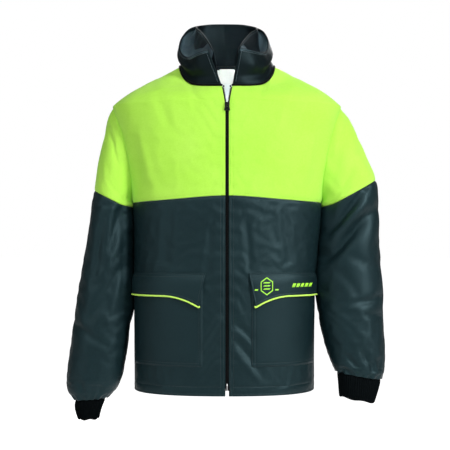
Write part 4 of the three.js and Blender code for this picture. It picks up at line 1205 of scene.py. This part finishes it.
def slider():
    """Two wedge plates, the post between them and a bridge on two feet that holds the pull."""
    half = [(0, 7.6), (1.6, 8.0), (3.6, 7.9), (4.9, 7.0), (5.2, 5.6), (5.1, 1.5), (4.4, -3.0), (3.8, -7.4),
            (3.0, -8.0)]
    wedge = [*half, *((-x, z) for x, z in half[:0:-1])][::-1]
    joined("zip_slider.body", [
        slab(wedge, -2.0, -0.4), slab(wedge, 5.1, 6.2),
        slab(rounded(-0.7, 0.7, 6.4, 7.8, 0.3, 3), -1.8, 5.6, 0.2),
        *(slab(rounded(-0.9, 0.9, z, z + 1, 0.3, 3), -5.2, -1.8, 0.2) for z in (5, -3)),
        slab(rounded(-0.9, 0.9, -3, 6, 0.5, 3), -6.2, -5.0, 0.3)], "zip_slider", SLIDER_Z)


def pull():
    """A tab with a long eye, wider at its round end, and three ribs to grip it by."""
    low, high = (Vector(c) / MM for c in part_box("zip_pull"))
    top_half, eye_top_half, eye_bottom_half, corner = 3.0, 1.7, 3.6, 1.5
    grip = [(top_half, high.z), (-top_half, high.z)]
    for turn in np.linspace(0, math.pi / 2, 5):
        grip.append((-high.x + corner * (1 - math.cos(turn)), low.z + corner * (1 - math.sin(turn))))
    grip += [(-x, z) for x, z in grip[:1:-1]]
    eye = []
    for x, z in grip:
        share = (high.z - z) / (high.z - low.z)
        half = mix(eye_top_half, eye_bottom_half, share)
        eye.append((math.copysign(half, x), mix(high.z - 2.4, low.z + 2.3, share)))
    ribs = [slab(rounded(-4.6, 4.6, z, z + 0.3, 0.14, 3), low.y - 0.2, high.y + 0.2, 0.1)
            for z in (low.z + 0.8 + 0.7 * k for k in range(3))]
    joined("zip_pull.tab", [slab(grip, low.y, high.y, 0.3, eye), *ribs], "zip_pull")


slider()
pull()
joined("zip_box.block", [slab(rounded(0.4, 5, -5, 5, 1.0), -0.4, SHELL + 1.2)], "front_left", ZIP_END_Z)
joined("zip_pin.block", [slab(rounded(-3.4, -0.4, -5, 5, 0.7), -0.2, SHELL + 1.0)], "front_right", ZIP_END_Z)
for name, _ in SIDES:
    low, high = (Vector(c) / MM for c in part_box(f"zip_stop_{name}"))
    block = slab(rounded(low.x, high.x, low.z, high.z, 0.8), low.y, high.y)
    joined(f"zip_stop_{name}.block", [block], "torso")


# ---------------------------------------------------------------- pockets, flaps and print
def pocket_grid(side, us, vs):
    i, j = np.meshgrid(us, vs)
    z = mix(POCKET["top"], POCKET["bottom"], j)
    angle = mix(angle_at_width(POCKET["inner_x"], z, side), angle_at_depth(POCKET["outer_y"], z, side), i)
    return body(side * angle, level_at(angle, z))


def flap_grid(side, us, vs):
    i, j = np.meshgrid(us, vs)
    inner_x = mix(FLAP["top_x"], FLAP["bottom_x"], j)
    outer = angle_at_depth(FLAP["outer_y"], FLAP["top"], side)
    angle = mix(angle_at_width(inner_x, FLAP["top"], side), outer, i)
    x = section(angle, FLAP["top"])[..., 0]
    drop = np.clip((FLAP["level_x"] - x) / (FLAP["level_x"] - FLAP["bottom_x"]), 0, 1) ** 2
    z = mix(FLAP["top"], FLAP["bottom"] - FLAP["drop"] * drop, j)
    return body(side * angle, level_at(angle, z))


def flap_lift(us, vs):
    """The flap starts on the cloth, clears the pocket and stands off most at its inner corner."""
    i, j = np.meshgrid(us, vs)
    lift = 2.2 + 4.4 * smooth(j / 0.3) + 1.0 * j
    return lift + 2.0 * j ** 2 * np.exp(-(i / 0.15) ** 2) + 0.5 * np.sin(i * 9 + 1) * j


def fastener(part, name, side, top_lift):
    x, z = np.meshgrid(np.linspace(78, 118, 15), np.linspace(-474, -490, 7))
    angle = angle_at_width(x, z, side)
    grid, on = body(side * angle, level_at(angle, z)), {"pocket": "front", "flap": "flap"}[part]
    cloth(f"{part}_fastener_{name}.patch", grid, top_lift, BODY_MIDDLE, HOOKS, f"{on}_{name}", thickness=0.7)


POCKET_SIZE, FLAP_SIZE = (148, 177), (150, 50)
POCKET_ROWS = [*rows_at(3, left=(3,), right=(3,), bottom=(3,)), *rows_at(9, left=(9,), bottom=(9,))]
FLAP_ROWS = [*rows_at(3, top=(3,)), *rows_at(4, top=(9,), left=(4,), bottom=(5,))]
for name, side in SIDES:
    us, vs, roll, drawn = panel(*POCKET_SIZE, POCKET_ROWS, (1, 1, 0, 1), more=(8,))
    grid = pocket_grid(side, us, vs)
    lift = skirt_folds(grid, side) * 0.8 + 2.6 * (1 - roll) + 0.2 * roll + drawn
    cloth(f"pocket_{name}.cloth", grid, lift, BODY_MIDDLE, DARK, BENDS[name]["panel"], thickness=1.3)
    stitch_rows(f"pocket_{name}.cloth", POCKET_ROWS)
    us, vs, _, drawn = panel(*FLAP_SIZE, FLAP_ROWS, draw=0.5, spacing=6)
    cloth(f"pocket_flap_{name}.cloth", flap_grid(side, us, vs), flap_lift(us, vs) + drawn, BODY_MIDDLE, DARK,
          BENDS[name]["flap"], thickness=1.8)
    stitch_rows(f"pocket_flap_{name}.cloth", FLAP_ROWS)
    bottom = cut[f"pocket_flap_{name}.cloth"][0][-1]
    edge = np.concatenate(([bottom[0] + (-side * 1.5, 1.2, 0.8)], bottom[:-1] + (0, 0.9, -1.2)))
    cord_along(f"flap_piping_{name}.cord", edge, 1.9, PIPING, f"flap_{name}")
    fastener("pocket", name, side, 3.9)
    fastener("flap", name, side, 4.8)


def printed(name, shapes, on, body_name):
    """Flat filled shapes printed on a piece: each is a strip of outer and inner points, closed or open."""
    tree = cut[on][1]
    vertices, faces = [], []
    for outer_line, inner_line, closed in shapes:
        marks = np.arange(len(outer_line) + (1 if closed else 0))
        wrap = marks % len(outer_line)
        fine = np.linspace(0, marks[-1], 8 * len(outer_line) + 1)
        for line in (outer_line, inner_line):
            points = np.array(line, float)[wrap].T * MM
            for x, z in zip(*(np.interp(fine, marks, values) for values in points)):
                spot, normal, _, _ = tree.ray_cast(Vector((x, -0.4, z)), Vector((0, 1, 0)))
                vertices.append((spot + normal * 0.00018) / MM)
        a, b = len(vertices) - 2 * len(fine), len(vertices) - len(fine)
        faces += [(a + k, b + k, b + k + 1, a + k + 1) for k in range(len(fine) - 1)]
    obj = new_object(name, vertices, faces, PRINT)
    thicken(obj, 0.2, 0, smoothed=False)
    place(obj, body_name)


MARK = (83.0, -476.0)            # middle of the printed sign


def hexagon(half_x, half_z):
    turns = math.pi / 3 * np.arange(6)
    return np.array(MARK) + np.stack((half_x * np.sin(turns), half_z * np.cos(turns)), axis=-1)


def dash(x, z, length, height, slant):
    """A slanted bar as two lines of points, its lower and its upper edge."""
    xs = np.linspace(x, x + length, 4)
    return [(p, z) for p in xs], [(p + slant, z + height) for p in xs], False


shapes = [(hexagon(15, 19), hexagon(12.8, 16.4), True)]
shapes += [dash(MARK[0] - 8, MARK[1] + dz, 13, 2.6, 3) for dz in (-7, -0.5, 6)]
shapes += [dash(136 + 9.2 * k, -479, 6.4, 8, 3.4) for k in range(5)]
shapes += [dash(MARK[0] - 26 + 43 * k, MARK[1] - 9, 7, 3, 1.2) for k in (0, 1)]
printed("flap_print.film", shapes, "pocket_flap_left.cloth", "flap_left")


# ---------------------------------------------------------------- camera, light and floor
def put(name, data, location=(0, 0, 0), facing=(0, 1, 0)):
    """An object in the scene that looks along a direction."""
    obj = bpy.data.objects.new(name, data)
    obj.location = location
    obj.rotation_euler = Vector(facing).to_track_quat("-Z", "Y").to_euler()
    bpy.context.scene.collection.objects.link(obj)
    return obj


def area_light(name, location, target, size, power, spread=180):
    data = bpy.data.lights.new(name, "AREA")
    data.shape = "RECTANGLE"
    data.size, data.size_y = size
    data.energy = power
    data.spread = math.radians(spread)
    put(name, data, location, Vector(target) - Vector(location))


def studio_world():
    """White to look at, and dimmer as a light, so that folds keep their shade."""
    world = bpy.data.worlds.new("studio")
    world.use_nodes = True
    nodes, links = world.node_tree.nodes, world.node_tree.links
    seen, light = nodes["Background"], nodes.new("ShaderNodeBackground")
    for background, strength in ((seen, 1.0), (light, 0.10)):
        background.inputs["Color"].default_value = (1, 1, 1, 1)
        background.inputs["Strength"].default_value = strength
    choice = nodes.new("ShaderNodeMixShader")
    links.new(nodes.new("ShaderNodeLightPath").outputs["Is Camera Ray"], choice.inputs["Fac"])
    links.new(light.outputs["Background"], choice.inputs[1])
    links.new(seen.outputs["Background"], choice.inputs[2])
    links.new(choice.outputs["Shader"], nodes["World Output"].inputs["Surface"])
    bpy.context.scene.world = world


def floor():
    """A white disc well below the coat, which glows a little to the camera."""
    rings, turns, radius, z = 6, 48, 30000, -1250
    angle = 2 * math.pi * np.arange(turns) / turns
    vertices = [(0, 0, z)]
    for r in radius / rings * np.arange(1, rings + 1):
        vertices += list(stack(r * np.cos(angle), r * np.sin(angle), z))
    faces = [(0, 1 + t, 1 + (t + 1) % turns) for t in range(turns)]
    for start in range(1, 1 + (rings - 1) * turns, turns):
        for t in range(turns):
            a, b = start + t, start + (t + 1) % turns
            faces.append((a, a + turns, b + turns, b))
    paper = moulded("floor_paper", None, (0.90,) * 3, (0.94,) * 3, 0.95, grain=0.02, relief=0.02)
    nodes, links = paper.node_tree.nodes, paper.node_tree.links
    shader, glow = nodes["Principled BSDF"], nodes.new("ShaderNodeMath")
    glow.operation = "MULTIPLY"
    glow.inputs[1].default_value = 0.75
    links.new(nodes.new("ShaderNodeLightPath").outputs["Is Camera Ray"], glow.inputs[0])
    links.new(glow.outputs[0], shader.inputs["Emission Strength"])
    shader.inputs["Emission Color"].default_value = (1, 1, 1, 1)
    new_object("floor", vertices, faces, paper)


camera = bpy.data.cameras.new("camera")
camera.lens = 94.5
bpy.context.scene.camera = put("camera", camera, (-0.0044, -2.6, -0.348))
bpy.context.scene.view_settings.view_transform = "Standard"
area_light("key", (1.9, -1.9, 1.0), (0, 0, -0.35), (0.5, 1.0), 75)
area_light("fill", (-2.0, -1.9, 0.2), (0, 0, -0.35), (0.6, 1.4), 9)
area_light("back", (0.3, 2.6, 1.0), (0, 0, -0.3), (2.0, 1.6), 50)
area_light("neck", (0.0, -1.0, 1.15), (0, 0.07, -0.03), (0.1, 0.1), 0.17, spread=9)
sky = bpy.data.lights.new("sky", "SUN")
sky.energy = 1.15
sky.angle = math.radians(50)
put("sky", sky, facing=(0.2, 1.0, -1.15))
studio_world()
floor()
